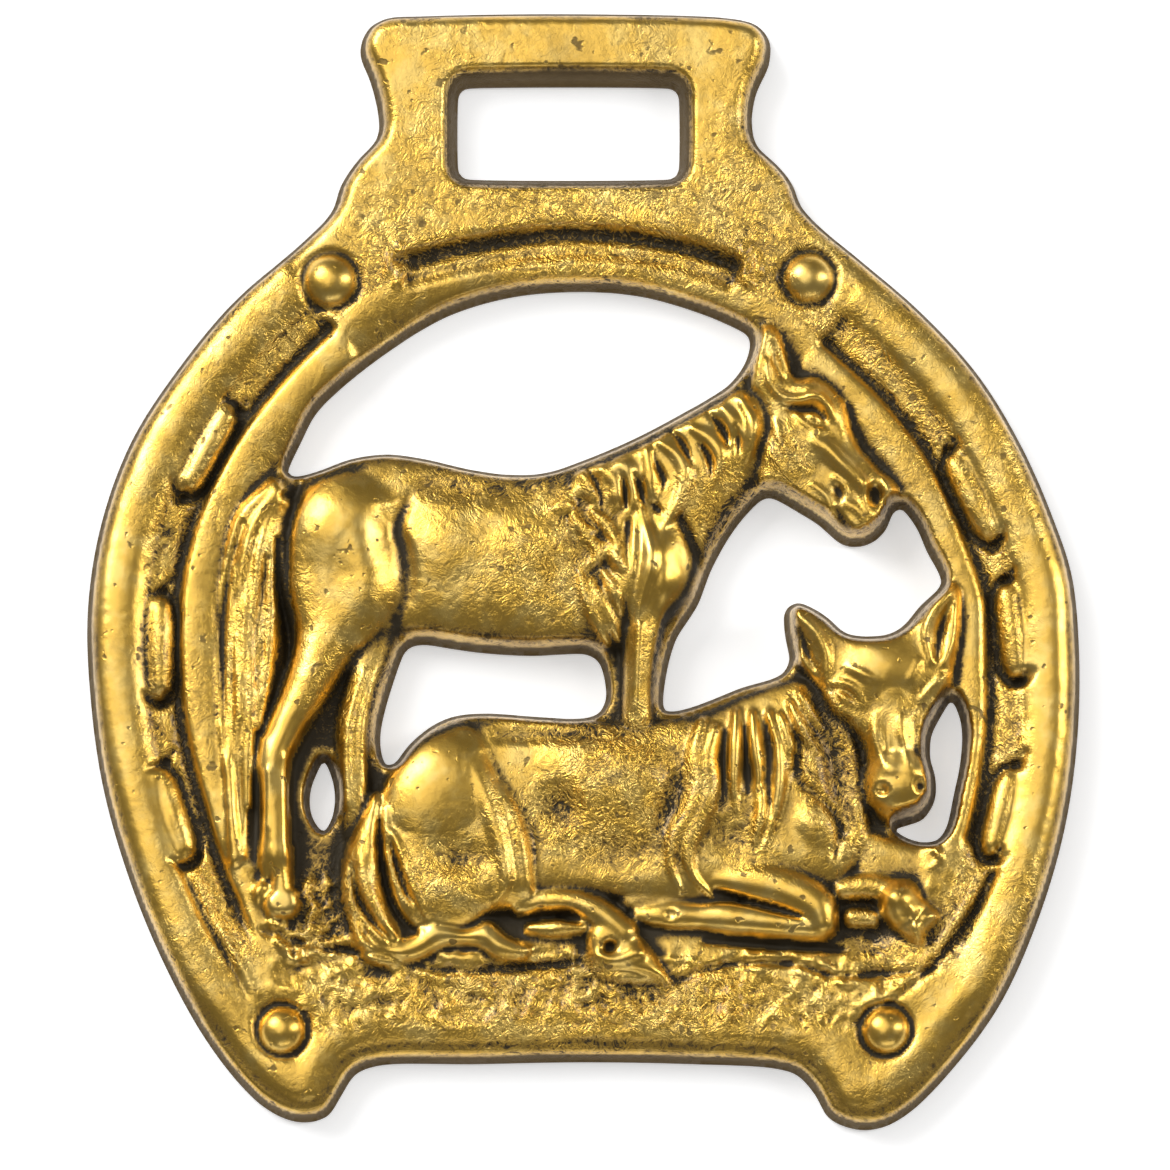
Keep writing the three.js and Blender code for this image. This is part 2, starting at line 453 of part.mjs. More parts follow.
// Wedge of the head, brow, eye, cheek, nostril, mouth and ear.
function carveMareHead(r) {
  r.stroke([[14.3, 12.4, 0.7, -0.6], [14, 10.4, 0.7, -0.7], [14, 8.4, 0.7, -0.6]]);
  r.body(MARE.head, 3.2, 1.5, 1.5, 0.12);
  r.mound([16.9, 9.4], [2.4, 2.2], 20, 0.45, 'dome');
  r.stroke([[18.7, 10.2, 1.3, 0.55], [20.6, 8.6, 1.25, 0.6], [22.4, 7, 1, 0.5]]);
  r.mound([17.9, 14.2], [2.2, 1.2], -8, 0.3);
  r.group([
    [[14.7, 15.6, 0.5, 0.2], [15.5, 13.9, 0.55, 0.4], [17, 13.4, 0.55, 0.6], [18.5, 13.5, 0.6, 0.7],
      [19.4, 12.9, 0.55, 0.5], [20.2, 11.6, 0.5, 0.3]],
    [[21, 5.2, 0.5, 0.3], [22, 4.6, 0.5, 0.35], [22.8, 3.7, 0.5, 0.3]],
  ]);
  for (const rows of [
    [[16.3, 12.7, 0.5, -0.3], [17.4, 12.9, 0.5, -0.55], [18.5, 12.6, 0.5, -0.5],
      [19.4, 11.9, 0.45, -0.35]],
    [[21, 13.2, 0.8, -0.5], [21.5, 11.2, 0.8, -0.45], [22.2, 9.8, 0.7, -0.25]],
    [[22.9, 6.7, 0.55, -0.75], [23.5, 5.3, 0.5, -0.75]],
    [[19.9, 6.6, 0.55, -0.5], [20.2, 5.6, 0.45, -0.4]],
    [[18.6, 9, 0.9, -0.15], [19.9, 7.3, 0.8, -0.15]],
  ]) r.stroke(rows);
  r.mound([18.2, 12.2], [0.75, 0.5], -30, 0.5, 'dome');
  r.group([[[13.8, 14.6, 0.5, 0.3], [14.1, 16.6, 0.6, 0.6], [14.9, 19, 0.5, 0.5]]]);
  r.stroke([[15.3, 18, 0.4, -0.5], [15.7, 16.6, 0.6, -0.8], [16.1, 15.6, 0.5, -0.6]]);
}

// Flame-shaped locks down the neck, and the folds of the shoulder and elbow.
function carveMareMane(r) {
  r.group(MARE.locks.map((lock) => flame(lock, 0.95, 0.95)), 'round');
  r.group(MARE.folds.map((fold) => flame(fold, 0.8, 0.7)), 'round');
  r.group([flame([[4.5, 4.8], [4.9, 2.6], [5.1, 0.4], [4.7, -1.8], [4.3, -4.2]], 0.8, 0.55)], 'dome');
}

// A soft mass with long strands over it.
function carveMareTail(r) {
  r.limb(2.5, [[-24.2, 6.6, 1.2, 1.1], [-26, 4.5, 2.3, 1.2], [-26.6, 0, 3, 1.3], [-26.6, -6, 3.1, 1.3],
    [-27, -12, 2.4, 1.2], [-27.3, -18, 1.7, 1], [-27.5, -23.5, 1, 0.6]], 0.4, 'dome');
  r.group(MARE.strands.map((row) => strand(row, [0.85, 0.5], [0.8, 0.45])), 'round');
}

function carveMare(r) {
  carveMareTail(r);
  carveMareBody(r);
  carveMareLegs(r);
  carveMareMane(r);
  carveMareHead(r);
}

// ---------------------------------------------------------------- the foal
const FOAL = {
  trunk: [[-15.6, -17], [-13.4, -14], [-10.5, -12], [-8, -11.3], [-4, -11.5], [0, -11.8], [4, -12],
    [9, -11.3], [12.6, -9.9], [15.8, -8.8], [17.5, -8.6], [19.4, -10], [21.4, -12.5], [22.4, -16],
    [22.8, -20], [21.9, -23], [20, -25], [14, -25.6], [8, -26.6], [2, -26], [-3, -26.4], [-8, -27.5],
    [-13, -29], [-16, -28], [-17.2, -24], [-17, -20]],
  haunch: [[-16.4, -17.8], [-14.9, -15], [-12.5, -12.9], [-9.6, -12.1], [-8, -12.9], [-7, -15],
    [-5.8, -17], [-4.5, -19.2], [-3.6, -21.5], [-3.5, -24], [-3.8, -25.9], [-5.4, -26.8], [-7.4, -27.2],
    [-9.4, -28.4], [-13, -28.4], [-15.6, -25], [-16.8, -21]],
  shank: [[-18.6, -27], [-16.5, -29], [-13.6, -28.6], [-12.4, -27.2], [-9.6, -28.2], [-7.6, -27.6],
    [-6.2, -28.8], [-4, -30], [-4.8, -31.1], [-7.2, -30.9], [-8.6, -30], [-11, -30], [-13, -31],
    [-15.4, -31.7], [-17.8, -30.9]],
  hoof: [[0.1, -28.6], [0.2, -30.6], [0.8, -32.2], [2.6, -32.8], [5, -32.8], [7, -33], [6.3, -31.4],
    [5, -29.5], [3.5, -28], [1.6, -27]],
  face: [[15.8, -3.1], [15.9, -4.8], [16.8, -6.9], [18.1, -8.7], [18.9, -9.8], [19.6, -11.2], [21, -12.3],
    [21.9, -13.4], [22.3, -15.2], [22.1, -17.2], [22.4, -19], [23.8, -20.3], [25.6, -20.9], [27.8, -20.4],
    [29.1, -18.6], [29.2, -16.8], [28.5, -15], [28.4, -13.2], [28.9, -11.4], [29.3, -9.6], [29.6, -7.8],
    [30.1, -4.6], [29.9, -1.2], [28.2, -0.9], [26.4, -3.2], [24.8, -4.7], [22, -4.9], [20.2, -4],
    [18.2, -2.3], [17, -2.2]],
  tail: [
    [[-16.7, -18.6], [-18.3, -21.6], [-19, -25], [-18.8, -28], [-17.2, -30.4], [-14.6, -31.2]],
    [[-17, -19.6], [-17.9, -22], [-17.3, -24.8], [-16.2, -27.4], [-14.9, -29.4]],
    [[-16.7, -18.4], [-16.9, -21], [-16.6, -24], [-15.9, -26.4]],
    [[-16, -19], [-15.8, -22.4], [-15.2, -25], [-14, -27.2], [-12.9, -28.8]],
    [[-15.4, -21], [-14.6, -23.4], [-13.7, -25.6], [-12.6, -27.4]],
  ],
  slits: [
    [[-18.5, -23.4], [-18.2, -25.6], [-17.3, -27.3], [-16.2, -28.7], [-15.2, -29.7]],
    [[-16.4, -20], [-16.3, -22.6], [-15.8, -25.2], [-14.8, -27.4], [-13.4, -29]],
    [[-15.5, -21.6], [-14.9, -23.6], [-14.2, -25.6], [-13.3, -26.9]],
  ],
  drapes: [
    [[9.4, -12], [8.9, -14.6], [9.1, -17.2], [8.4, -19.4], [7.1, -21.4], [6.9, -23.6], [7.7, -25.6]],
    [[10.4, -12.6], [9.8, -15.2], [10, -17.4], [9.1, -19.8], [8.3, -22], [8.6, -24.2], [10.2, -25.9]],
    [[11.7, -12.2], [11.4, -14.8], [11.1, -17.4], [10.5, -19.6]],
    [[12.3, -10.8], [12.2, -14], [12.2, -16.8], [12.5, -18.8]],
    [[13.1, -11.4], [13.2, -14], [13.7, -16.4], [13.4, -18.8]],
    [[13.9, -11.6], [14.4, -14.5], [14.7, -17], [14.9, -19]],
    [[14.7, -11.4], [15.5, -14.6], [15.5, -17.4], [15, -20], [14.2, -22.4]],
    [[14.2, -17.4], [14, -19.8], [13.5, -21.8]],
    [[15.6, -11.6], [16.3, -13.6], [16.4, -15.9]],
    [[16.4, -10.6], [17.3, -12.4], [18.6, -14.6]],
    [[17.2, -9.8], [18, -11.2], [19.1, -12.8]],
  ],
};

// Barrel, haunch, shank and tail.
function carveFoalBody(r) {
  r.body(FOAL.trunk, 2.9, 1.35, 3.6, 0.3);
  r.mound([0.8, -17], [7, 4.4], -20, 0.9);
  r.mound([-2.6, -17.5], [1.6, 1.2], 0, -0.3);
  r.stroke([[-6.6, -13.2, 1, -0.3], [-3, -13.2, 0.9, -0.35], [1, -13.2, 0.8, -0.25]]);
  r.mound([2, -22.6], [5, 2.4], -5, -0.35);
  r.body(FOAL.haunch, 3.3, 1.9, 3.6, 0.12);
  r.mound([-12.2, -17], [4.6, 4.4], -30, 0.6, 'dome');
  r.group([
    [[-8.4, -14.6, 1.2, 0.2], [-7.3, -19.4, 1.3, 0.55], [-6.5, -22.6, 1, 0.5], [-6.3, -25, 0.7, 0.4],
      [-7.1, -26.4, 0.6, 0.3]],
    [[-6.6, -17.4, 0.8, 0.2], [-5.5, -20, 0.9, 0.5], [-4.8, -23, 0.8, 0.4], [-4.4, -25.6, 0.6, 0.2]],
  ]);
  r.mound([-9.8, -22.8], [3.4, 1.9], -8, -0.5);
  r.mound([-10.6, -25.6], [3.4, 1.6], -14, 0.2);
  r.body(FOAL.shank, 3.2, 1.4, 1.5, 0.2);
  r.limb(3, [[-12.4, -31.2, 0.4, 0.5], [-10, -30.7, 0.5, 0.8], [-7.8, -30.5, 0.4, 0.6]], 0.15);
  r.limb(3.2, [[-16.6, -18, 0.6, 1.2], [-17.4, -22, 1.7, 1.6], [-17.3, -26, 2, 1.7],
    [-16, -29, 1.9, 1.6]], 0.3, 'dome');
  r.group(FOAL.tail.map((row) => flame(row, 0.85, 0.55, 0.5)), 'round');
  FOAL.slits.forEach((row) => r.stroke(flame(row, 0.45, -1, 0.4)));
}

// Folded cannon with its hollow, and the hind hoof.
function carveFoalHindFeet(r) {
  r.limb(3.1, [[-5.2, -26.4, 1, 1], [-3, -26.2, 1.1, 1.2], [-0.8, -26.3, 1.1, 1.5],
    [1.2, -27.2, 1.3, 1.8], [3.2, -28.8, 1.3, 1.9]], 0.2);
  r.limb(3.1, [[-4.4, -28.4, 0.5, 0.8], [-2.4, -28.4, 0.9, 1.3], [-0.4, -28.2, 0.8, 1.4]], 0.2);
  r.body(FOAL.hoof, 3.3, 1.5, 1.5, 0.15);
  r.mound([2, -29.9], [0.8, 0.65], 20, -1.1);
  r.stroke([[0.9, -30.6, 0.5, 0.3], [2.4, -31, 0.5, 0.3], [4.4, -30.4, 0.8, 0.4]]);
  r.stroke([[-3, -27.2, 0.5, -0.5], [-1.4, -27.4, 0.7, -0.9], [-0.3, -28, 0.5, -0.4]]);
  r.stroke([[-4, -27.4, 0.5, -0.4], [-3.4, -27, 0.5, -0.4]]);
}

// Dark hollow behind the jaw, chest, and the drapes of mane and shoulder.
function carveFoalNeck(r) {
  r.stroke([[18.2, -11.2, 1.4, -0.5], [19.8, -14.2, 1.7, -0.8], [20.3, -17.4, 1.5, -0.7],
    [20.8, -20.6, 1.2, -0.5]]);
  r.mound([11.6, -21.4], [2.4, 2.2], 0, -0.35);
  r.group(FOAL.drapes.map((row) => flame(row, 0.85, 0.8, 0.35)), 'round');
  r.mound([18.2, -20.2], [1.8, 2.4], 25, 0.45);
  r.stroke([[16.9, -14.8, 0.55, -0.5], [17.2, -16.8, 0.55, -0.4], [18.9, -18.2, 0.5, -0.4],
    [20.4, -20.5, 0.5, -0.5], [20, -22.6, 0.5, -0.4]]);
  r.stroke([[7.2, -16.8, 0.9, -0.25], [6.6, -18.6, 1, -0.4], [5.8, -20.4, 0.8, -0.2]]);
}

// Near foreleg folded at the knee, and the far knee and hoof in front.
function carveFoalForelegs(r) {
  r.limb(3.1, [[3.6, -26.2, 0.8, 0.5], [6, -26.1, 0.7, 0.6], [8.4, -26.6, 0.6, 0.5]], 0.3);
  r.limb(3.1, [[4.4, -27.3, 0.8, 0.7], [7, -27.4, 1.1, 1.1], [9.2, -27.6, 0.9, 1],
    [11.5, -27.7, 1.05, 1.3], [15, -28.1, 1.05, 1.5], [19.2, -28.5, 1.1, 1.6]], 0.15);
  r.mound([6.8, -27.4], [0.6, 0.5], 0, -0.5);
  r.limb(3.2, [[11.6, -24.3, 0.7, 1.2], [14.2, -24.6, 1.3, 1.7], [16.8, -25.4, 1.45, 2],
    [18.8, -26.7, 1.5, 2.1], [19.3, -28, 1.2, 1.9]], 0.15);
  r.stroke([[11, -26.1, 0.4, -0.5], [14.4, -26.8, 0.45, -0.7], [17.3, -27.6, 0.4, -0.6]]);
  r.body([[22.8, -20.6], [24.6, -21.2], [27.4, -22], [29.6, -21.8], [30.8, -23.6], [30.4, -27],
    [28.9, -25.6], [26.6, -23.9], [23.4, -23.6], [21.6, -24.4], [22.4, -22.8]], 3, 0.75, 1.2, 0.25);
  r.limb(3.1, [[20.8, -25.4, 0.8, 0.9], [22.6, -25.3, 1, 1.2], [24.6, -25.6, 1.3, 1.4]], 0.2);
  r.limb(3, [[21.2, -27.4, 0.9, 0.9], [23.2, -27.5, 0.9, 0.9]], 0.2);
  r.body([[23.2, -26.2], [24.4, -24.8], [26.4, -24.7], [28, -25.8], [28.8, -27.2], [28, -28.2],
    [26.6, -29.6], [25.2, -28.9], [24.2, -27.6]], 3.2, 1.7, 1.7, 0.2);
  r.stroke([[24.4, -25.8, 0.9, 0.4], [26, -26.2, 0.9, 0.35], [27, -28.2, 0.7, 0.3]]);
  r.stroke([[26.9, -29, 0.4, -0.4], [27.6, -27.6, 0.5, -0.4]]);
}

// Face towards the front: brow, eyes, nose, muzzle and both ears.
function carveFoalHead(r) {
  r.body(FOAL.face, 3.4, 1.5, 1.6, 0.12);
  r.mound([24, -8], [4.6, 3.2], 0, 0.75);
  r.mound([24.9, -13.2], [2.3, 3.6], 0, 0.5, 'dome');
  r.mound([25.3, -17.3], [2.9, 2.6], 0, 0.95, 'dome');
  r.group([
    [[22.9, -11.6, 0.5, 0.15], [23.3, -14.2, 0.5, 0.35], [24, -16, 0.5, 0.3]],
    [[25.1, -11.4, 0.5, 0.2], [25.4, -14, 0.5, 0.4], [26.2, -16, 0.5, 0.3]],
    [[18.9, -9, 0.45, 0.3], [20.3, -8.8, 0.5, 0.45], [21.8, -9.8, 0.5, 0.4], [22.4, -11.2, 0.4, 0.2]],
    [[19.2, -9.9, 0.4, 0.2], [20.2, -11.5, 0.45, 0.35], [22, -12, 0.4, 0.2]],
    [[21, -6.8, 0.6, 0.2], [23.4, -8.8, 0.7, 0.3], [25.4, -8.6, 0.6, 0.2]],
    [[26.4, -7.2, 0.5, 0.25], [25.6, -9.4, 0.5, 0.2]],
  ]);
  r.mound([20.7, -10.2], [1.3, 0.55], -38, 0.45, 'dome');
  for (const rows of [
    [[24.1, -11.8, 0.6, -0.2], [24.3, -14.6, 0.5, -0.2]],
    [[26.5, -11.8, 0.5, -0.3], [26.7, -14.4, 0.5, -0.25]],
  ]) r.stroke(rows);
  r.mound([23.75, -17.8], [0.75, 0.65], -15, -0.9);
  r.mound([26.85, -17.4], [0.7, 0.75], 15, -0.9);
  r.group([
    [[17, -3.5, 0.5, 0.3], [18.5, -5.1, 0.7, 0.7], [19.4, -7, 0.7, 0.6], [19.5, -8.8, 0.5, 0.3]],
    [[16.7, -4.4, 0.4, 0.3], [17.2, -6.6, 0.45, 0.4], [18.4, -8.6, 0.4, 0.3]],
    [[29.3, -1.9, 0.4, 0.3], [27.7, -3.6, 0.6, 0.6], [26.8, -5.6, 0.5, 0.4], [27.7, -7.2, 0.4, 0.3]],
  ]);
  r.stroke([[17.2, -4.6, 0.4, -0.5], [17.8, -6.4, 0.65, -0.95], [18.6, -8.2, 0.4, -0.6]]);
  r.stroke([[29.2, -2.8, 0.4, -0.5], [28.6, -4.8, 0.75, -1], [28.3, -7, 0.45, -0.6]]);
}

function carveFoal(r) {
  carveFoalBody(r);
  carveFoalHindFeet(r);
  carveFoalNeck(r);
  carveFoalForelegs(r);
  carveFoalHead(r);
}

// ---------------------------------------------------------------- carved face as a lean mesh
// A queue that gives back the entry with the largest error first.
class WorstFirst {
  constructor() {
    this.heap = [];
  }

  swap(i, j) {
    [this.heap[i], this.heap[j]] = [this.heap[j], this.heap[i]];
  }

  push(entry) {
    let i = this.heap.push(entry) - 1;
    while (i > 0 && this.heap[(i - 1) >> 1].error < this.heap[i].error) {
      this.swap(i, (i - 1) >> 1);
      i = (i - 1) >> 1;
    }
  }

  pop() {
    const top = this.heap[0];
    const last = this.heap.pop();
    if (!this.heap.length) return top;
    this.heap[0] = last;
    for (let i = 0; ;) {
      let worst = i;
      for (const child of [2 * i + 1, 2 * i + 2]) {
        if (child < this.heap.length && this.heap[child].error > this.heap[worst].error) worst = child;
      }
      if (worst === i) return top;
      this.swap(i, worst);
      i = worst;
    }
  }
}

// Points go in one at a time where the mesh is furthest from the carving; it stays Delaunay.
class LeanMesh {
  constructor(relief, metal) {
    this.relief = relief;
    this.metal = metal;
    this.points = [[0, 0], [relief.nx - 1, 0], [relief.nx - 1, relief.ny - 1], [0, relief.ny - 1]];
    this.triangles = [];
    this.queue = new WorstFirst();
    const [low, high] = [this.add([0, 1, 2]), this.add([0, 2, 3])];
    low.beside[2] = high;
    high.beside[0] = low;
    [low, high].forEach((t) => this.measure(t));
  }

  // A triangle; beside[k] is the one across its edge corners[k] -> corners[k + 1].
  add(corners) {
    const t = { corners, beside: [null, null, null], live: true, error: 0, at: null };
    this.triangles.push(t);
    return t;
  }

  height([i, j]) {
    return this.relief.z[j * this.relief.nx + i];
  }

  // Twice the signed area of p, q, s.
  static area(p, q, s) {
    return (q[0] - p[0]) * (s[1] - p[1]) - (q[1] - p[1]) * (s[0] - p[0]);
  }

  circleHolds(t, p) {
    const [a, b, c] = t.corners.map((i) => [this.points[i][0] - p[0], this.points[i][1] - p[1]]);
    const square = (v) => v[0] * v[0] + v[1] * v[1];
    const cross = (u, v) => u[0] * v[1] - v[0] * u[1];
    return square(a) * cross(b, c) - square(b) * cross(a, c) + square(c) * cross(a, b) > 0;
  }

  // Finds the grid point of metal where a triangle is furthest from the carving.
  measure(t) {
    const [a, b, c] = t.corners.map((i) => this.points[i]);
    const area = LeanMesh.area(a, b, c);
    if (area <= 0) return;
    const [za, zb, zc] = [this.height(a), this.height(b), this.height(c)];
    for (let j = Math.min(a[1], b[1], c[1]); j <= Math.max(a[1], b[1], c[1]); j++) {
      for (let i = Math.min(a[0], b[0], c[0]); i <= Math.max(a[0], b[0], c[0]); i++) {
        if (!this.metal[j * this.relief.nx + i]) continue;
        const toA = LeanMesh.area(b, c, [i, j]) / area;
        const toB = LeanMesh.area(c, a, [i, j]) / area;
        const toC = 1 - toA - toB;
        if (toA < 0 || toB < 0 || toC < -1e-12) continue;
        const error = Math.abs(this.height([i, j]) - toA * za - toB * zb - toC * zc);
        if (error > t.error) {
          t.error = error;
          t.at = [i, j];
        }
      }
    }
    if (t.error > LEAST_ERROR) this.queue.push({ error: t.error, triangle: t });
  }

  // Puts in one point: the triangles whose circles hold it make way for a fan round it.
  insert(first, p) {
    const id = this.points.push(p) - 1;
    const cavity = new Set([first]);
    for (const t of cavity) {
      for (const next of t.beside) {
        if (next && !cavity.has(next) && this.circleHolds(next, p)) cavity.add(next);
      }
    }
    const byStart = new Map();
    for (const t of cavity) {
      t.live = false;
      t.beside.forEach((next, k) => {
        if (next && cavity.has(next)) return;
        const [a, b] = [t.corners[k], t.corners[(k + 1) % 3]];
        const fresh = this.add([a, b, id]);
        fresh.beside[0] = next;
        if (next) next.beside[next.corners.indexOf(b)] = fresh;
        byStart.set(a, fresh);
      });
    }
    for (const t of byStart.values()) {
      const next = byStart.get(t.corners[1]);
      t.beside[1] = next;
      next.beside[2] = t;
    }
    byStart.forEach((t) => this.measure(t));
  }

  refine(count) {
    while (this.points.length < count && this.queue.heap.length) {
      const { triangle } = this.queue.pop();
      if (triangle.live) this.insert(triangle, triangle.at);
    }
  }

  // Corner indices of the triangles that are not flat.
  faces() {
    return this.triangles
      .filter((t) => t.live && LeanMesh.area(...t.corners.map((i) => this.points[i])) > 0)
      .map((t) => t.corners);
  }
}

// Closed block under the carved face.
function carvedBlock(r, metal) {
  const mesh = new LeanMesh(r, metal);
  mesh.refine(CARVE_POINTS);
  const placed = ([i, j]) => [r.x0 + i * r.cell, r.y0 + j * r.cell, mesh.height([i, j])];
  const positions = mesh.points.map(placed);
  const indices = mesh.faces().flat();
  const bottom = positions.length;
  for (let k = 0; k < 4; k++) {
    const next = (k + 1) % 4;
    positions.push([positions[k][0], positions[k][1], BLOCK_FLOOR]);
    indices.push(bottom + k, bottom + next, next, bottom + k, next, k);
  }
  indices.push(bottom, bottom + 2, bottom + 1, bottom, bottom + 3, bottom + 2);
  return toManifold(positions, indices);
}

// ---------------------------------------------------------------- drafted outline block
function loopArea(loop) {
  return loop.reduce((sum, a, i) => {
    const b = loop[(i + 1) % loop.length];
    return sum + a[0] * b[1] - a[1] * b[0];
  }, 0);
}

// Drops points of a fine loop until a chord would stand off it by `tol` or pass `longest`.
function thin(loop, tol, longest) {
  const keep = new Set([0, loop.length >> 1]);
  const split = (from, to) => {
    const [a, b] = [loop[from], loop[to % loop.length]];
    let worst = 0;
    let at = -1;
    for (let i = from + 1; i < to; i++) {
      const off = segmentDistance(loop[i], a, b)[0];
      if (off > worst) {
        worst = off;
        at = i;
      }
    }
    if (worst <= tol && (apart(a, b) <= longest || to - from <= 1)) return;
    if (worst <= tol) at = (from + to) >> 1;
    keep.add(at);
    split(from, at);
    split(at, to);
  };
  split(0, loop.length >> 1);
  split(loop.length >> 1, loop.length);
  return loop.filter((_, i) => keep.has(i));
}

// Moves a loop to its left in small smoothed steps, so tight corners round over.
function lean(loop, amount, steps = 12) {
  const n = loop.length;
  const stride = amount / steps;
  let line = loop;
  for (let step = 0; step < steps; step++) {
    const moved = line.map((c, i) => {
      const [a, b] = [line[(i + n - 1) % n], line[(i + 1) % n]];
      const length = apart(a, b) || 1;
      return [c[0] - (b[1] - a[1]) / length * stride, c[1] + (b[0] - a[0]) / length * stride];
    });
    line = moved.map((c, i) => {
      const [a, b] = [moved[(i + n - 1) % n], moved[(i + 1) % n]];
      const span = (apart(a, c) + apart(c, b)) / 2;
      const pull = 0.5 * clamp(1 - span / 0.7, 0, 1);
      return [mix(c[0], (a[0] + b[0]) / 2, pull), mix(c[1], (a[1] + b[1]) / 2, pull)];
    });
  }
  return line;
}

// The outline at the back, thinned, with the metal on its left.
function edgeLoop(name) {
  const loop = thin(spline(OUTLINES[name], true, OUTLINE_STEP), EDGE_TOL, EDGE_STEP);
  const metalInside = name === 'outer';
  return (loopArea(loop) > 0) === metalInside ? loop : loop.reverse();
}

function outlineBlock() {
  const slotAtFace = { ...SLOT, wide: SLOT.wide + 2 * DRAFT, tall: SLOT.tall + 2 * DRAFT, corner: 0.7 };
  const edges = ['outer', ...WINDOWS].map((name) => ({ back: edgeLoop(name) }));
  edges.forEach((edge) => { edge.face = lean(edge.back, DRAFT); });
  edges.push({ back: roundRect(SLOT).reverse(), face: roundRect(slotAtFace).reverse() });
  const positions = [];
  const indices = [];
  const firsts = edges.map(({ back, face }) => {
    const levels = [[back, 0], [back, LAND], [face, SHOULDER], [face, CUTTER_TOP]];
    return levels.map(([loop, height]) => {
      const first = positions.length;
      loop.forEach(([x, y]) => positions.push([x, y, height]));
      return first;
    });
  });
  edges.forEach(({ back }, n) => {
    for (let level = 0; level < 3; level++) {
      const [low, high] = [firsts[n][level], firsts[n][level + 1]];
      back.forEach((_, i) => {
        const next = (i + 1) % back.length;
        indices.push(low + i, low + next, high + next, low + i, high + next, high + i);
      });
    }
  });
  const cap = (level, up) => {
    const rings = edges.map(({ back }, n) => back.map((_, i) => firsts[n][level] + i));
    const shapes = rings.map((ring) => ring.map((i) => new THREE.Vector2(...positions[i])));
    const flat = rings.flat();
    const faces = THREE.ShapeUtils.triangulateShape(shapes[0], shapes.slice(1))
      .map((face) => face.map((i) => flat[i]));
    const turning = faces.reduce((sum, face) => sum + LeanMesh.area(...face.map((i) => positions[i])), 0);
    faces.forEach((face) => indices.push(...((turning > 0) === up ? face : face.reverse())));
  };
  cap(0, false);
  cap(3, true);
  return toManifold(positions, indices);
}

// ---------------------------------------------------------------- joining
const wasm = await Module();
wasm.setup();

function toManifold(positions, indices) {
  const vertProperties = new Float32Array(positions.flat());
  const triVerts = new Uint32Array(indices);
  return new wasm.Manifold(new wasm.Mesh({ numProp: 3, vertProperties, triVerts }));
}

// Closes up the shortest edges that a cut leaves and turns the long edge of needle faces.
// The skin stays closed: an edge goes only when its two ends share exactly two neighbours.
class Tidier {
  constructor(points, faces) {
    this.points = points;
    this.faces = faces;
    this.facesAt = points.map(() => new Set());
    faces.forEach((face, i) => face.forEach((v) => this.facesAt[v].add(i)));
  }

  neighbours(v) {
    const found = new Set([...this.facesAt[v]].flatMap((i) => this.faces[i]));
    found.delete(v);
    return found;
  }

  length(a, b) {
    return Math.hypot(...this.points[a].map((v, k) => this.points[b][k] - v));
  }

  normal([a, b, c]) {
    const [p, q, s] = [a, b, c].map((i) => new THREE.Vector3(...this.points[i]));
    return q.sub(p).cross(s.sub(p));
  }

  height(face) {
    const longest = Math.max(...face.map((v, k) => this.length(v, face[(k + 1) % 3])), 1e-12);
    return this.normal(face).length() / longest;
  }

  // Whether two faces look nearly enough the same way.
  agree(one, two) {
    const [m, n] = [this.normal(one), this.normal(two)];
    return m.dot(n) > 0.2 * m.length() * n.length();
  }

  collapse(keep, drop) {
    const link = this.neighbours(keep);
    const shared = [...this.neighbours(drop)].filter((v) => link.has(v));
    if (shared.length !== 2) return false;
    const moved = [...this.facesAt[drop]].filter((i) => !this.faces[i].includes(keep));
    const swapped = (i) => this.faces[i].map((v) => (v === drop ? keep : v));
    const fine = moved.every((i) => this.height(swapped(i)) > NEEDLE
      && (this.height(this.faces[i]) < NEEDLE || this.agree(this.faces[i], swapped(i))));
    if (!fine) return false;
    for (const i of [...this.facesAt[drop]].filter((j) => this.faces[j].includes(keep))) {
      this.faces[i].forEach((v) => this.facesAt[v].delete(i));
      this.faces[i] = null;
    }
    for (const i of moved) {
      this.faces[i] = swapped(i);
      this.facesAt[keep].add(i);
    }
    this.facesAt[drop].clear();
    return true;
  }

  // Gives a needle face and the one across its long edge the other diagonal.
  turn(i) {
    const face = this.faces[i];
    const lengths = face.map((v, k) => this.length(v, face[(k + 1) % 3]));
    const k = lengths.indexOf(Math.max(...lengths));
    const [a, b, c] = [face[k], face[(k + 1) % 3], face[(k + 2) % 3]];
    const j = [...this.facesAt[a]].find((o) => o !== i && this.faces[o].includes(b));
    if (j === undefined) return false;
    const d = this.faces[j].find((v) => v !== a && v !== b);
    if (d === c || this.neighbours(c).has(d)) return false;
    const [one, two] = [[c, a, d], [d, b, c]];
    if (Math.min(this.height(one), this.height(two)) < 2 * this.height(face)) return false;
    if (!this.agree(this.faces[j], one) || !this.agree(this.faces[j], two)) return false;
    this.facesAt[b].delete(i);
    this.facesAt[a].delete(j);
    this.facesAt[d].add(i);
    this.facesAt[c].add(j);
    this.faces[i] = one;
    this.faces[j] = two;
    return true;
  }

  run(passes) {
    for (let pass = 0, changed = true; changed && pass < passes; pass++) {
      changed = false;
      for (let i = 0; i < this.faces.length; i++) {
        for (let k = 0; this.faces[i] && k < 3; k++) {
          const [a, b] = [this.faces[i][k], this.faces[i][(k + 1) % 3]];
          if (this.length(a, b) < SLIVER && (this.collapse(a, b) || this.collapse(b, a))) changed = true;
        }
        if (this.faces[i] && this.height(this.faces[i]) < NEEDLE && this.turn(i)) changed = true;
      }
    }
    return this.faces.filter(Boolean);
  }
}

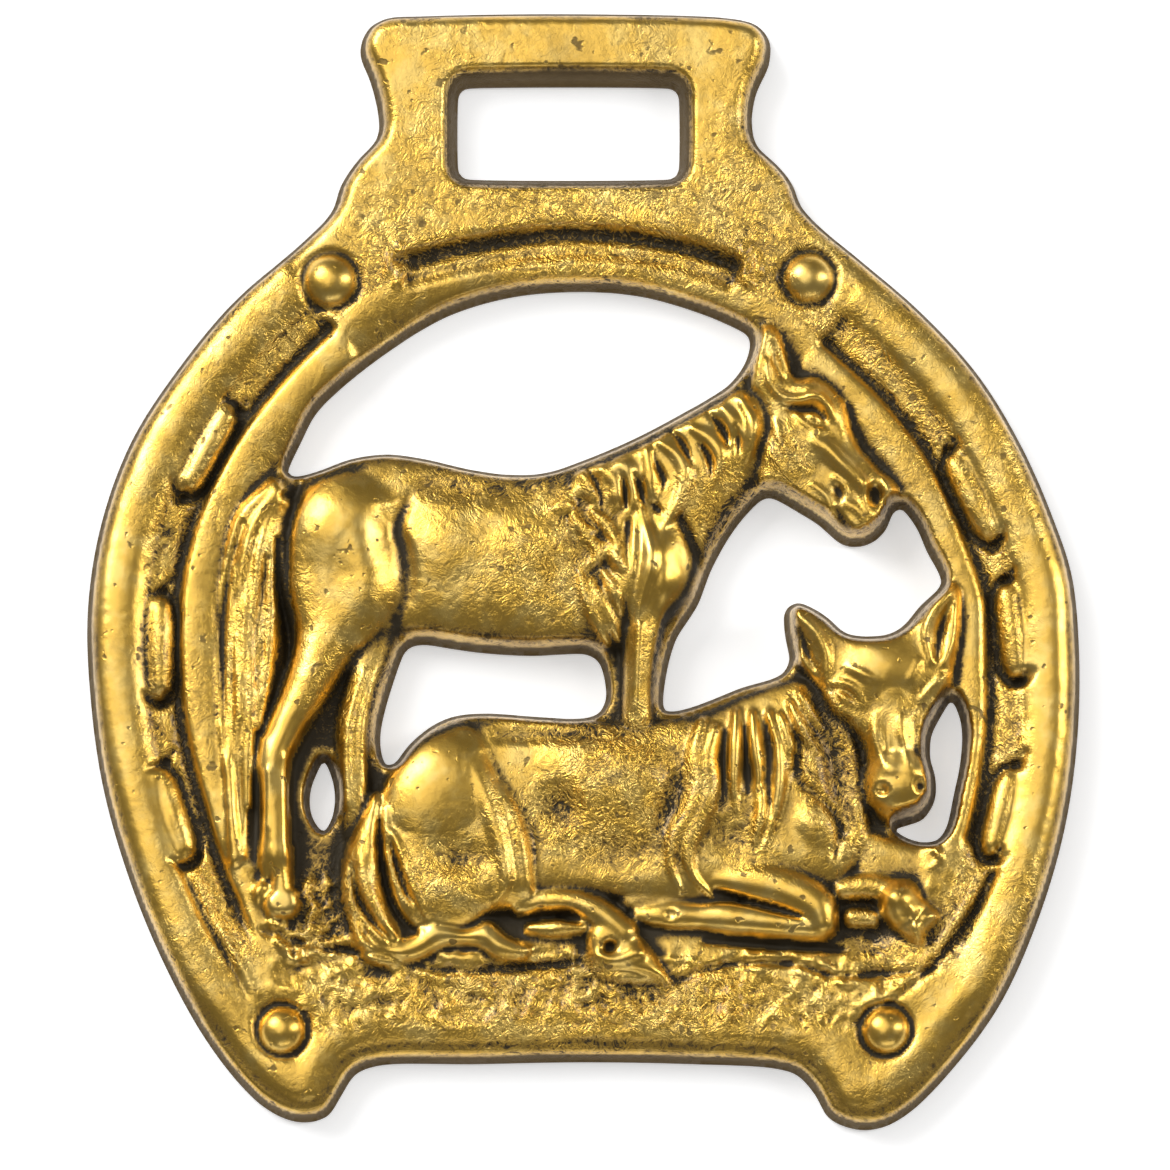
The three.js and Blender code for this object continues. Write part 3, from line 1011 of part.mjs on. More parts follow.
// The solid as a geometry at its full height, its box centred in X and Y, its back on z = 0.
function toGeometry(solid) {
  const mesh = solid.getMesh();
  const points = [];
  const faces = [];
  for (let i = 0; i < mesh.vertProperties.length; i += mesh.numProp) {
    points.push([...mesh.vertProperties.slice(i, i + 3)]);
  }
  for (let i = 0; i < mesh.triVerts.length; i += 3) faces.push([...mesh.triVerts.slice(i, i + 3)]);
  const kept = new Tidier(points, faces).run(12);
  const renumber = new Map();
  kept.flat().forEach((v) => { if (!renumber.has(v)) renumber.set(v, renumber.size); });
  const geometry = new THREE.BufferGeometry();
  const used = [...renumber.keys()].flatMap((v) => points[v]);
  geometry.setAttribute('position', new THREE.BufferAttribute(new Float32Array(used), 3));
  geometry.setIndex(new THREE.BufferAttribute(new Uint32Array(kept.flat().map((v) => renumber.get(v))), 1));
  geometry.scale(1, TALLER, 1);
  geometry.computeBoundingBox();
  const { min, max } = geometry.boundingBox;
  geometry.translate(-(min.x + max.x) / 2, -(min.y + max.y) / 2, -min.z);
  geometry.computeVertexNormals();
  return geometry;
}

// 1 where the carving lands on metal, 0 outside it and in the windows.
function metalMask(r) {
  const holes = [roundRect(SLOT), ...WINDOWS.map((name) => spline(OUTLINES[name], true, 0.9))];
  const reach = DRAFT * 0.75;
  const metal = r.distance(spline(OUTLINES.outer, true, 0.9), 2).map((d) => (d > reach ? 1 : 0));
  for (const hole of holes) {
    r.distance(hole, 2).forEach((d, k) => { if (d > -reach) metal[k] = 0; });
  }
  return metal;
}

function buildBrass() {
  const relief = new Relief(-41, -45.2, 41, 46.4, CELL);
  carveShoe(relief);
  carveMare(relief);
  carveFoal(relief);
  carveNailBars(relief);
  relief.soften(SOFTEN);
  carveStuds(relief);
  return outlineBlock().intersect(carvedBlock(relief, metalMask(relief)));
}

const group = new THREE.Group();
group.name = 'horse_brass_assembly';
const brass = new THREE.Mesh(
  toGeometry(buildBrass()),
  new THREE.MeshStandardMaterial({ name: 'old_brass', color: 0xb08a3c, metalness: 1, roughness: 0.34 }),
);
brass.name = 'horse_brass';
group.add(brass);
export default group;
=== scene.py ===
"""Horse brass: a mare standing over her foal inside a horseshoe, cast in one piece.

The face is one relief, a height over every point of the casting, built up from mouldings,
bodies, limbs, locks and cuts.  Sizes are millimetres until a mesh is made, then metres.
"""
import logging
import math
from dataclasses import dataclass, field
from enum import Enum
from typing import Any, Callable, Sequence, Union

import bpy
import numpy as np
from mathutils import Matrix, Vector
from mathutils.geometry import delaunay_2d_cdt

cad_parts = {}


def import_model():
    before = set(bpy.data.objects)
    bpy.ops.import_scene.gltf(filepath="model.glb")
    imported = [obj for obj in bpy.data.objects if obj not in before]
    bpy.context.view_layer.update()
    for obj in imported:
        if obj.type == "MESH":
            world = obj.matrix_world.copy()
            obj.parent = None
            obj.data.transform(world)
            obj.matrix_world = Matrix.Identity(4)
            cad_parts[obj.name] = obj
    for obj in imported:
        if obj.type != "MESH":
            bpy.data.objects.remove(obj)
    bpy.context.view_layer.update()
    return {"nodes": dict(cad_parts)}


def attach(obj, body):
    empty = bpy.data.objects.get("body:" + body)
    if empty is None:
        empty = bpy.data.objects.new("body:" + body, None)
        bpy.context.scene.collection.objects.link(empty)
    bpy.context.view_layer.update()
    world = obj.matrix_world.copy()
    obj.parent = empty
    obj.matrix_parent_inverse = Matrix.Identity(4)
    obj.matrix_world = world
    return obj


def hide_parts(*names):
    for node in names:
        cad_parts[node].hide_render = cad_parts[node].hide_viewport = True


MM = 0.001
TALLER = 1.014  # the casting's height over the height of the drawing that its forms are placed on
STEP = 0.4  # distance between samples along a smooth outline
LOG = logging.getLogger("horse_brass")
Row = Sequence[float]
Rows = Sequence[Row]
Window = tuple[slice, slice]


# ---------------------------------------------------------------- curves and sections
def ease(x: np.ndarray) -> np.ndarray:
    """Smooth step: 3t^2 - 2t^3 with t held between 0 and 1."""
    t = np.clip(x, 0.0, 1.0)
    return t * t * (3.0 - 2.0 * t)


def fade(value: np.ndarray, start: float, run: float) -> np.ndarray:
    """Smooth step from 0 at `start` to 1 a `run` further on, downwards where it is negative."""
    return ease((value - start) / run)


def soft_max(a: np.ndarray, b: np.ndarray, blend: float) -> np.ndarray:
    """The larger of two heights, with a fillet of about `blend` where they cross.

    Args:
        a: One height.
        b: The other height.
        blend: How close the two are when the fillet starts.

    Returns:
        The larger height plus h^2 blend / 4, where h falls from 1 to 0 as they part.
    """
    h = np.clip(blend - np.abs(a - b), 0.0, None) / blend
    return np.maximum(a, b) + h * h * blend / 4.0


def soft_min(a: np.ndarray, b: np.ndarray, blend: float) -> np.ndarray:
    """The smaller of two heights, with a rounding of about `blend`."""
    return -soft_max(-a, -b, blend)


def spline(rows: Rows, closed: bool, step: float) -> np.ndarray:
    """Centripetal Catmull-Rom curve through rows of any width.

    Args:
        rows: Points; the first two numbers are x and y and the rest ride along.
        closed: Whether the curve joins up.
        step: Greatest distance between the samples.

    Returns:
        One row for each sample: cubic Hermite blends of neighbouring rows.
    """
    p = np.asarray(rows, dtype=float)
    n = len(p)
    take = (lambda i: p[i % n]) if closed else (lambda i: p[min(max(i, 0), n - 1)])
    out = []
    for i in range(n if closed else n - 1):
        a, b, c, d = take(i - 1), take(i), take(i + 1), take(i + 2)
        gaps = [max(math.sqrt(math.dist(u[:2], v[:2])), 1e-6) for u, v in ((a, b), (b, c), (c, d))]
        start_free = not closed and i == 0
        end_free = not closed and i == n - 2
        m1 = c - b
        m2 = c - b
        if not start_free:
            m1 = m1 + gaps[1] * ((b - a) / gaps[0] - (c - a) / (gaps[0] + gaps[1]))
        if not end_free:
            m2 = m2 + gaps[1] * ((d - c) / gaps[2] - (d - b) / (gaps[1] + gaps[2]))
        count = max(1, math.ceil(math.dist(b[:2], c[:2]) / step))
        t = (np.arange(count) / count)[:, None]
        out.append((2 * t**3 - 3 * t**2 + 1) * b + (t**3 - 2 * t**2 + t) * m1
                   + (3 * t**2 - 2 * t**3) * c + (t**3 - t**2) * m2)
    if not closed:
        out.append(p[-1:])
    return np.vstack(out)


def section(rows: Rows) -> Callable[[np.ndarray], np.ndarray]:
    """A moulding's section: a monotone cubic through (distance, height) rows.

    Args:
        rows: Distance in from the edge and the height there.

    Returns:
        A function from distances to heights, level beyond both ends.
    """
    x, y = np.asarray(rows, dtype=float).T
    slope = np.diff(y) / np.diff(x)
    m = np.zeros(len(x))
    same = slope[:-1] * slope[1:] > 0
    total = np.where(same, slope[:-1] + slope[1:], 1.0)
    m[1:-1] = np.where(same, 2.0 * slope[:-1] * slope[1:] / total, 0.0)

    def height(distance: np.ndarray) -> np.ndarray:
        """Height of the section at each distance.

        Args:
            distance: Distances in from the edge.

        Returns:
            Hermite blends of the rows on both sides.
        """
        q = np.clip(distance, x[0], x[-1])
        i = np.clip(np.searchsorted(x, q, side="right") - 1, 0, len(x) - 2)
        h = x[i + 1] - x[i]
        t = (q - x[i]) / h
        return ((2 * t**3 - 3 * t**2 + 1) * y[i] + (t**3 - 2 * t**2 + t) * h * m[i]
                + (3 * t**2 - 2 * t**3) * y[i + 1] + (t**3 - t**2) * h * m[i + 1])

    return height


class Profile(Enum):
    """Cross-section of a stroke or mound, over u from its middle (0) to its edge (1)."""

    ROUND = "round"
    SOFT = "soft"
    DOME = "dome"

    def at(self, u: np.ndarray) -> np.ndarray:
        """Height from 1 to 0: a half circle, a bell (1 - u^2)^2, or a parabola 1 - u^2."""
        v = np.clip(1.0 - u * u, 0.0, None)
        return {Profile.ROUND: np.sqrt(v), Profile.SOFT: v * v, Profile.DOME: v}[self]


def strand(points: Rows, width: Row, height: Row) -> np.ndarray:
    """Stroke rows from bare points.

    Args:
        points: (x, y) points.
        width: Half-width at the first and last point.
        height: Height at the first and last point.

    Returns:
        Rows of x, y, half-width, height, both running evenly along the points.
    """
    t = np.linspace(0.0, 1.0, len(points))
    return np.column_stack([points, width[0] + (width[1] - width[0]) * t,
                            height[0] + (height[1] - height[0]) * t])


def flame(points: Rows, width: float, height: float, fullest: float = 0.45) -> np.ndarray:
    """Stroke rows of a lock: thin where it starts, full in the middle, pointed at its tip.

    Args:
        points: (x, y) points from root to tip.
        width: Greatest half-width.
        height: Greatest height, negative for a cut.
        fullest: Where along it the lock is widest, from 0 to 1.

    Returns:
        Rows scaled by sin(pi t^p), with p set so that the peak falls at `fullest`, and held
        above a share of it before the peak and a smaller one after.
    """
    least_before, least_after = 0.45, 0.18
    t = np.linspace(0.0, 1.0, len(points))
    swell = np.sin(math.pi * t ** (math.log(0.5) / math.log(fullest)))
    swell = np.maximum(swell, np.where(t < fullest, least_before, least_after))
    return np.column_stack([points, width * swell, height * np.sqrt(swell)])


def flames(lines: Sequence[Rows], width: float, height: float, fullest: float = 0.45) -> list[np.ndarray]:
    """Stroke rows of several locks of one size."""
    return [flame(line, width, height, fullest) for line in lines]


def strands(lines: Sequence[Rows], width: Row, height: Row) -> list[np.ndarray]:
    """Stroke rows of several strands of one size."""
    return [strand(line, width, height) for line in lines]


# ---------------------------------------------------------------- the relief
class Relief:
    """A height over a square grid, with the tools that carve it."""

    reach: float = 60.0  # the noise's lattice starts this far left of and below the middle

    def __init__(self, low: Row, high: Row, cell: float) -> None:
        """Lays out a flat grid.

        Args:
            low: Lowest x and y.
            high: Highest x and y.
            cell: Distance between grid lines.
        """
        self.cell = cell
        self.xs = np.arange(low[0], high[0] + cell / 2, cell)
        self.ys = np.arange(low[1], high[1] + cell / 2, cell)
        self.x, self.y = np.meshgrid(self.xs, self.ys)
        self.z = np.zeros(self.x.shape)

    def window(self, x0: float, y0: float, x1: float, y1: float) -> Window:
        """The grid slices that cover a box.

        Args:
            x0: Lowest x.
            y0: Lowest y.
            x1: Highest x.
            y1: Highest y.

        Returns:
            Row and column slices.
        """
        i0, i1 = np.searchsorted(self.xs, (x0, x1))
        j0, j1 = np.searchsorted(self.ys, (y0, y1))
        return slice(j0, j1), slice(i0, i1)

    def distance(self, loop: np.ndarray, limit: float) -> np.ndarray:
        """Signed distance to a closed loop, positive inside, cut off at `limit`.

        Args:
            loop: Points round the loop.
            limit: Greatest distance that matters.

        Returns:
            Distance to the nearest edge, with its sign from counting crossings.
        """
        far = np.full(self.x.shape, limit)
        inside = np.zeros(self.x.shape, dtype=bool)
        for a, b in zip(loop[:, :2], np.roll(loop[:, :2], -1, axis=0)):
            lo, hi = np.minimum(a, b), np.maximum(a, b)
            rows = self.window(0, lo[1], 0, hi[1] + 1e-9)[0]
            yy = self.y[rows]
            if yy.size:
                crosses = (a[1] > yy) != (b[1] > yy)
                edge_x = (b[0] - a[0]) * (yy - a[1]) / (b[1] - a[1] + 1e-30) + a[0]
                inside[rows] ^= crosses & (self.x[rows] < edge_x)
            win = self.window(lo[0] - limit, lo[1] - limit, hi[0] + limit, hi[1] + limit)
            d, _ = self.to_segment(win, a, b)
            far[win] = np.minimum(far[win], d)
        return np.where(inside, far, -far)

    def to_segment(self, win: Window, a: np.ndarray, b: np.ndarray) -> tuple[np.ndarray, np.ndarray]:
        """Distance from a window's points to a segment.

        Args:
            win: The window.
            a: One end.
            b: The other end.

        Returns:
            The distance, and how far along the segment the nearest point lies.
        """
        run = b[:2] - a[:2]
        px, py = self.x[win] - a[0], self.y[win] - a[1]
        t = np.clip((px * run[0] + py * run[1]) / max(float(run @ run), 1e-12), 0.0, 1.0)
        return np.hypot(px - t * run[0], py - t * run[1]), t

    def path(self, rows: Rows, profile: Profile) -> tuple[Window, np.ndarray]:
        """Height of a stroke: the largest of height x profile(distance / half-width) along it.

        Args:
            rows: Rows of x, y, half-width, height. Negative heights cut.
            profile: Cross-section.

        Returns:
            The window it touches and the height there, 0 outside the stroke.
        """
        p = spline(rows, False, 0.35)
        w = float(p[:, 2].max())
        win = self.window(p[:, 0].min() - w, p[:, 1].min() - w, p[:, 0].max() + w, p[:, 1].max() + w)
        sign = -1.0 if p[:, 3].sum() < 0 else 1.0
        best = np.zeros(self.x[win].shape)
        for a, b in zip(p[:-1], p[1:]):
            d, t = self.to_segment(win, a, b)
            wide = np.maximum(a[2] + (b[2] - a[2]) * t, 1e-6)
            tall = sign * (a[3] + (b[3] - a[3]) * t)
            best = np.maximum(best, tall * profile.at(d / wide))
        return win, best * sign

    def turned(self, win: Window, centre: Row, radii: Row, turn: float) -> np.ndarray:
        """Distance from a centre as a share of an ellipse's radius that way.

        Args:
            win: The window.
            centre: x and y.
            radii: Half-lengths along the ellipse's own axes.
            turn: Degrees anticlockwise.

        Returns:
            0 at the centre and 1 on the ellipse.
        """
        c, s = math.cos(math.radians(turn)), math.sin(math.radians(turn))
        px, py = self.x[win] - centre[0], self.y[win] - centre[1]
        return np.hypot((px * c + py * s) / radii[0], (py * c - px * s) / radii[1])

    def noise(self, size: float, seed: int, stretch: float = 1.0) -> np.ndarray:
        """Smooth random heights between -1 and 1.

        Args:
            size: Size of a lump.
            seed: Fixes the pattern.
            stretch: Lumps are this many times as tall as wide.

        Returns:
            Eased blends between random values on a lattice.
        """
        gx, gy = (self.x + self.reach) / size, (self.y + self.reach) / (size * stretch)
        table = np.random.default_rng(seed).uniform(-1, 1, (int(gy.max()) + 2, int(gx.max()) + 2))
        i, j = gx.astype(int), gy.astype(int)
        u, v = ease(gx - i), ease(gy - j)
        low = table[j, i] * (1 - u) + table[j, i + 1] * u
        high = table[j + 1, i] * (1 - u) + table[j + 1, i + 1] * u
        return low * (1 - v) + high * v

    def crackle(self, size: float, seed: int, stretch: float = 1.0) -> np.ndarray:
        """Squiggling ridges: noise read at points that more noise pushes about, then folded.

        Args:
            size: Size of a lump.
            seed: Fixes the pattern.
            stretch: Lumps are this many times as tall as wide.

        Returns:
            1 - 2.2 |noise|, held above 0.
        """
        push, swirl, fold = size * 0.9, size * 1.7, 2.2
        i = self.noise(swirl, seed + 100) * push / self.cell
        j = self.noise(swirl, seed + 200) * push / self.cell
        base = self.noise(size, seed, stretch)
        rows, cols = np.indices(base.shape)
        moved = base[np.clip(rows + j.round().astype(int), 0, base.shape[0] - 1),
                     np.clip(cols + i.round().astype(int), 0, base.shape[1] - 1)]
        return 1.0 - np.clip(np.abs(moved) * fold, 0.0, 1.0)

    @staticmethod
    def softened(values: np.ndarray) -> np.ndarray:
        """Takes the sharpness off.

        Args:
            values: A value over the grid.

        Returns:
            Each value averaged with its neighbours, weighted 1, 5, 1 each way.
        """
        for axis in (0, 1):
            values = (np.roll(values, 1, axis) + 5.0 * values + np.roll(values, -1, axis)) / 7.0
        return values

    def blurred(self, values: np.ndarray, radius: float) -> np.ndarray:
        """Spreads a value out.

        Args:
            values: A value over the grid.
            radius: Half-width of the mean, in millimetres.

        Returns:
            Three running means each way, which come close to a Gaussian.
        """
        n = max(1, round(radius / self.cell))
        for axis in (0, 1, 0, 1, 0, 1):
            pad = [(0, 0), (0, 0)]
            pad[axis] = (n + 1, n)
            total = np.cumsum(np.pad(values, pad, mode="edge"), axis=axis)
            size = total.shape[axis]
            ends = np.take(total, range(2 * n + 1, size), axis=axis)
            starts = np.take(total, range(0, size - 2 * n - 1), axis=axis)
            values = (ends - starts) / (2 * n + 1)
        return values


# ---------------------------------------------------------------- forms
class Form:
    """One form of the carving."""

    def carve(self, relief: Relief) -> None:
        """Carves the form into the heights that are there."""
        raise NotImplementedError


Forms = Sequence[Form]


@dataclass(frozen=True)
class Stroke(Form):
    """Adds a stroke to the surface. Its rows are x, y, half-width and height, negative to cut."""

    rows: Rows
    profile: Profile = Profile.SOFT

    def carve(self, relief: Relief) -> None:
        """Adds the height of the stroke."""
        win, h = relief.path(self.rows, self.profile)
        relief.z[win] += h


@dataclass(frozen=True)
class Group(Form):
    """Adds the highest of several strokes, so that a crease stays where two of them meet."""

    strokes: Sequence[Rows]
    profile: Profile = Profile.SOFT

    def carve(self, relief: Relief) -> None:
        """Adds the largest height over all the strokes.

        Args:
            relief: The relief so far.
        """
        tallest = np.zeros(relief.z.shape)
        for rows in self.strokes:
            win, h = relief.path(rows, self.profile)
            tallest[win] = np.maximum(tallest[win], h)
        relief.z += tallest


@dataclass(frozen=True)
class Limb(Form):
    """Joins a rounded limb that stands on `base`, with a fillet of about `blend`."""

    base: float
    rows: Rows
    blend: float = 0.3
    profile: Profile = Profile.ROUND

    def carve(self, relief: Relief) -> None:
        """Takes the larger of the surface and the base with the stroke on it."""
        win, h = relief.path(self.rows, self.profile)
        relief.z[win] = np.where(h > 0, soft_max(relief.z[win], self.base + h, self.blend), relief.z[win])


@dataclass(frozen=True)
class Mound(Form):
    """Adds an elliptical swelling, or a hollow where its rise is negative."""

    centre: Row
    radii: Row
    turn: float
    rise: float
    profile: Profile = Profile.SOFT

    def carve(self, relief: Relief) -> None:
        """Adds rise x profile(share of the way out to the ellipse).

        Args:
            relief: The relief so far.
        """
        (x, y), reach = self.centre, max(self.radii)
        win = relief.window(x - reach, y - reach, x + reach, y + reach)
        u = relief.turned(win, self.centre, self.radii, self.turn)
        relief.z[win] += self.profile.at(u) * self.rise


@dataclass(frozen=True)
class Body(Form):
    """Joins a swollen body: a quarter circle in from its outline, level past `reach`."""

    outline: Rows
    base: float
    rise: float
    reach: float
    blend: float

    def carve(self, relief: Relief) -> None:
        """Takes the larger of the surface and base + rise sqrt(1 - u^2), u from 1 at the edge to 0.

        Args:
            relief: The relief so far.
        """
        d = relief.distance(spline(self.outline, True, STEP), self.reach + 0.5)
        u = 1.0 - np.clip(d / self.reach, 0.0, 1.0)
        h = self.base + self.rise * np.sqrt(np.clip(1.0 - u * u, 0.0, None))
        relief.z = np.where(d > 0, soft_max(relief.z, h, self.blend), relief.z)


def cuts(lines: Sequence[Rows], width: float, height: float, fullest: float) -> list[Stroke]:
    """Leaf-shaped cuts of one size, each a stroke of its own."""
    return [Stroke(rows) for rows in flames(lines, width, height, fullest)]


@dataclass(frozen=True)
class Zone:
    """A part of the grid with soft sides: where each starts, and over how far it fades in."""

    left: Row = (-100.0, 1.0)
    right: Row = (100.0, -1.0)
    low: Row = (-100.0, 1.0)
    high: Row = (100.0, -1.0)

    def share(self, relief: Relief) -> np.ndarray:
        """1 well inside the zone and 0 outside it."""
        return (fade(relief.x, *self.left) * fade(relief.x, *self.right)
                * fade(relief.y, *self.low) * fade(relief.y, *self.high))


def carve_all(relief: Relief, *parts: Forms) -> None:
    """Carves every form of every part, in order.

    Args:
        relief: The relief so far.
        *parts: The forms of each part.
    """
    for form in (form for part in parts for form in part):
        form.carve(relief)


# ---------------------------------------------------------------- outlines from the frame
@dataclass
class Outlines:
    """The casting's outlines at the back, read from its solid in the frame.

    The forms below are placed from the middle of the shoe; `origin` is where that lies
    in the row's frame, found from the strap slot.
    """

    node: bpy.types.Object
    slot_centre: tuple[float, float] = (-1.3, 35.55)
    slot_near: tuple[float, float] = (0.0, 35.0)
    back_below: float = 0.01
    taller: float = 1.0
    loops: list[np.ndarray] = field(default_factory=list)
    slot: int = 0
    origin: np.ndarray = field(default_factory=lambda: np.zeros(2))

    def __post_init__(self) -> None:
        """Finds the loops and the origin."""
        mesh = self.node.data
        points = np.empty(len(mesh.vertices) * 3)
        mesh.vertices.foreach_get("co", points)
        points = points.reshape(-1, 3) / MM
        mesh.calc_loop_triangles()
        tris = np.empty(len(mesh.loop_triangles) * 3, dtype=int)
        mesh.loop_triangles.foreach_get("vertices", tris)
        tris = tris.reshape(-1, 3)
        _, first, same = np.unique(np.round(points, 3), axis=0, return_index=True, return_inverse=True)
        tris = same.reshape(-1)[tris]
        points = points[first]
        back = tris[(points[tris][:, :, 2] < self.back_below).all(axis=1)]
        self.loops = self.chain(back, points)
        self.slot = min(range(1, len(self.loops)), key=lambda k: float(
            np.hypot(*(self.loops[k].mean(axis=0) - self.slot_near))))
        slot = self.loops[self.slot]
        middle = (slot.min(axis=0) + slot.max(axis=0)) / 2
        self.origin = middle - np.asarray(self.slot_centre) * (1.0, self.taller)
        self.loops = [(loop - self.origin) / (1.0, self.taller) for loop in self.loops]

    @staticmethod
    def chain(faces: np.ndarray, points: np.ndarray) -> list[np.ndarray]:
        """Border loops of the flat back, longest first.

        Args:
            faces: Triangles of the back.
            points: All points.

        Returns:
            One array of x, y for each loop, from edges that only one triangle has.
        """
        edges = {(int(f[k]), int(f[(k + 1) % 3])) for f in faces for k in range(3)}
        after = {a: b for a, b in edges if (b, a) not in edges}
        loops = []
        while after:
            start, here = next(iter(after.items()))
            del after[start]
            loop = [start]
            while here != start:
                loop.append(here)
                here = after.pop(here)
            loops.append(points[loop, :2])
        return sorted(loops, key=len, reverse=True)

    def inside(self, relief: Relief, limit: float) -> np.ndarray:
        """Distance in from the nearest outer or inner edge, negative off the metal.

        Args:
            relief: The grid.
            limit: Greatest distance that matters.

        Returns:
            The least distance over all loops.
        """
        smooth = [spline(loop, True, STEP) for loop in self.loops]
        d = relief.distance(smooth[0], limit)
        for loop in smooth[1:]:
            d = np.minimum(d, -relief.distance(loop, limit))
        return d


# ---------------------------------------------------------------- the shoe and its hanger
@dataclass(frozen=True)
class Arc:
    """Part of the shoe between two bearings, each end fading over some degrees."""

    start: float
    stop: float
    first: float
    last: float

    def share(self, turn: np.ndarray) -> np.ndarray:
        """1 between the bearings and 0 outside them."""
        return ease((turn - self.start) / self.first + 0.5) * ease((self.stop - turn) / self.last + 0.5)


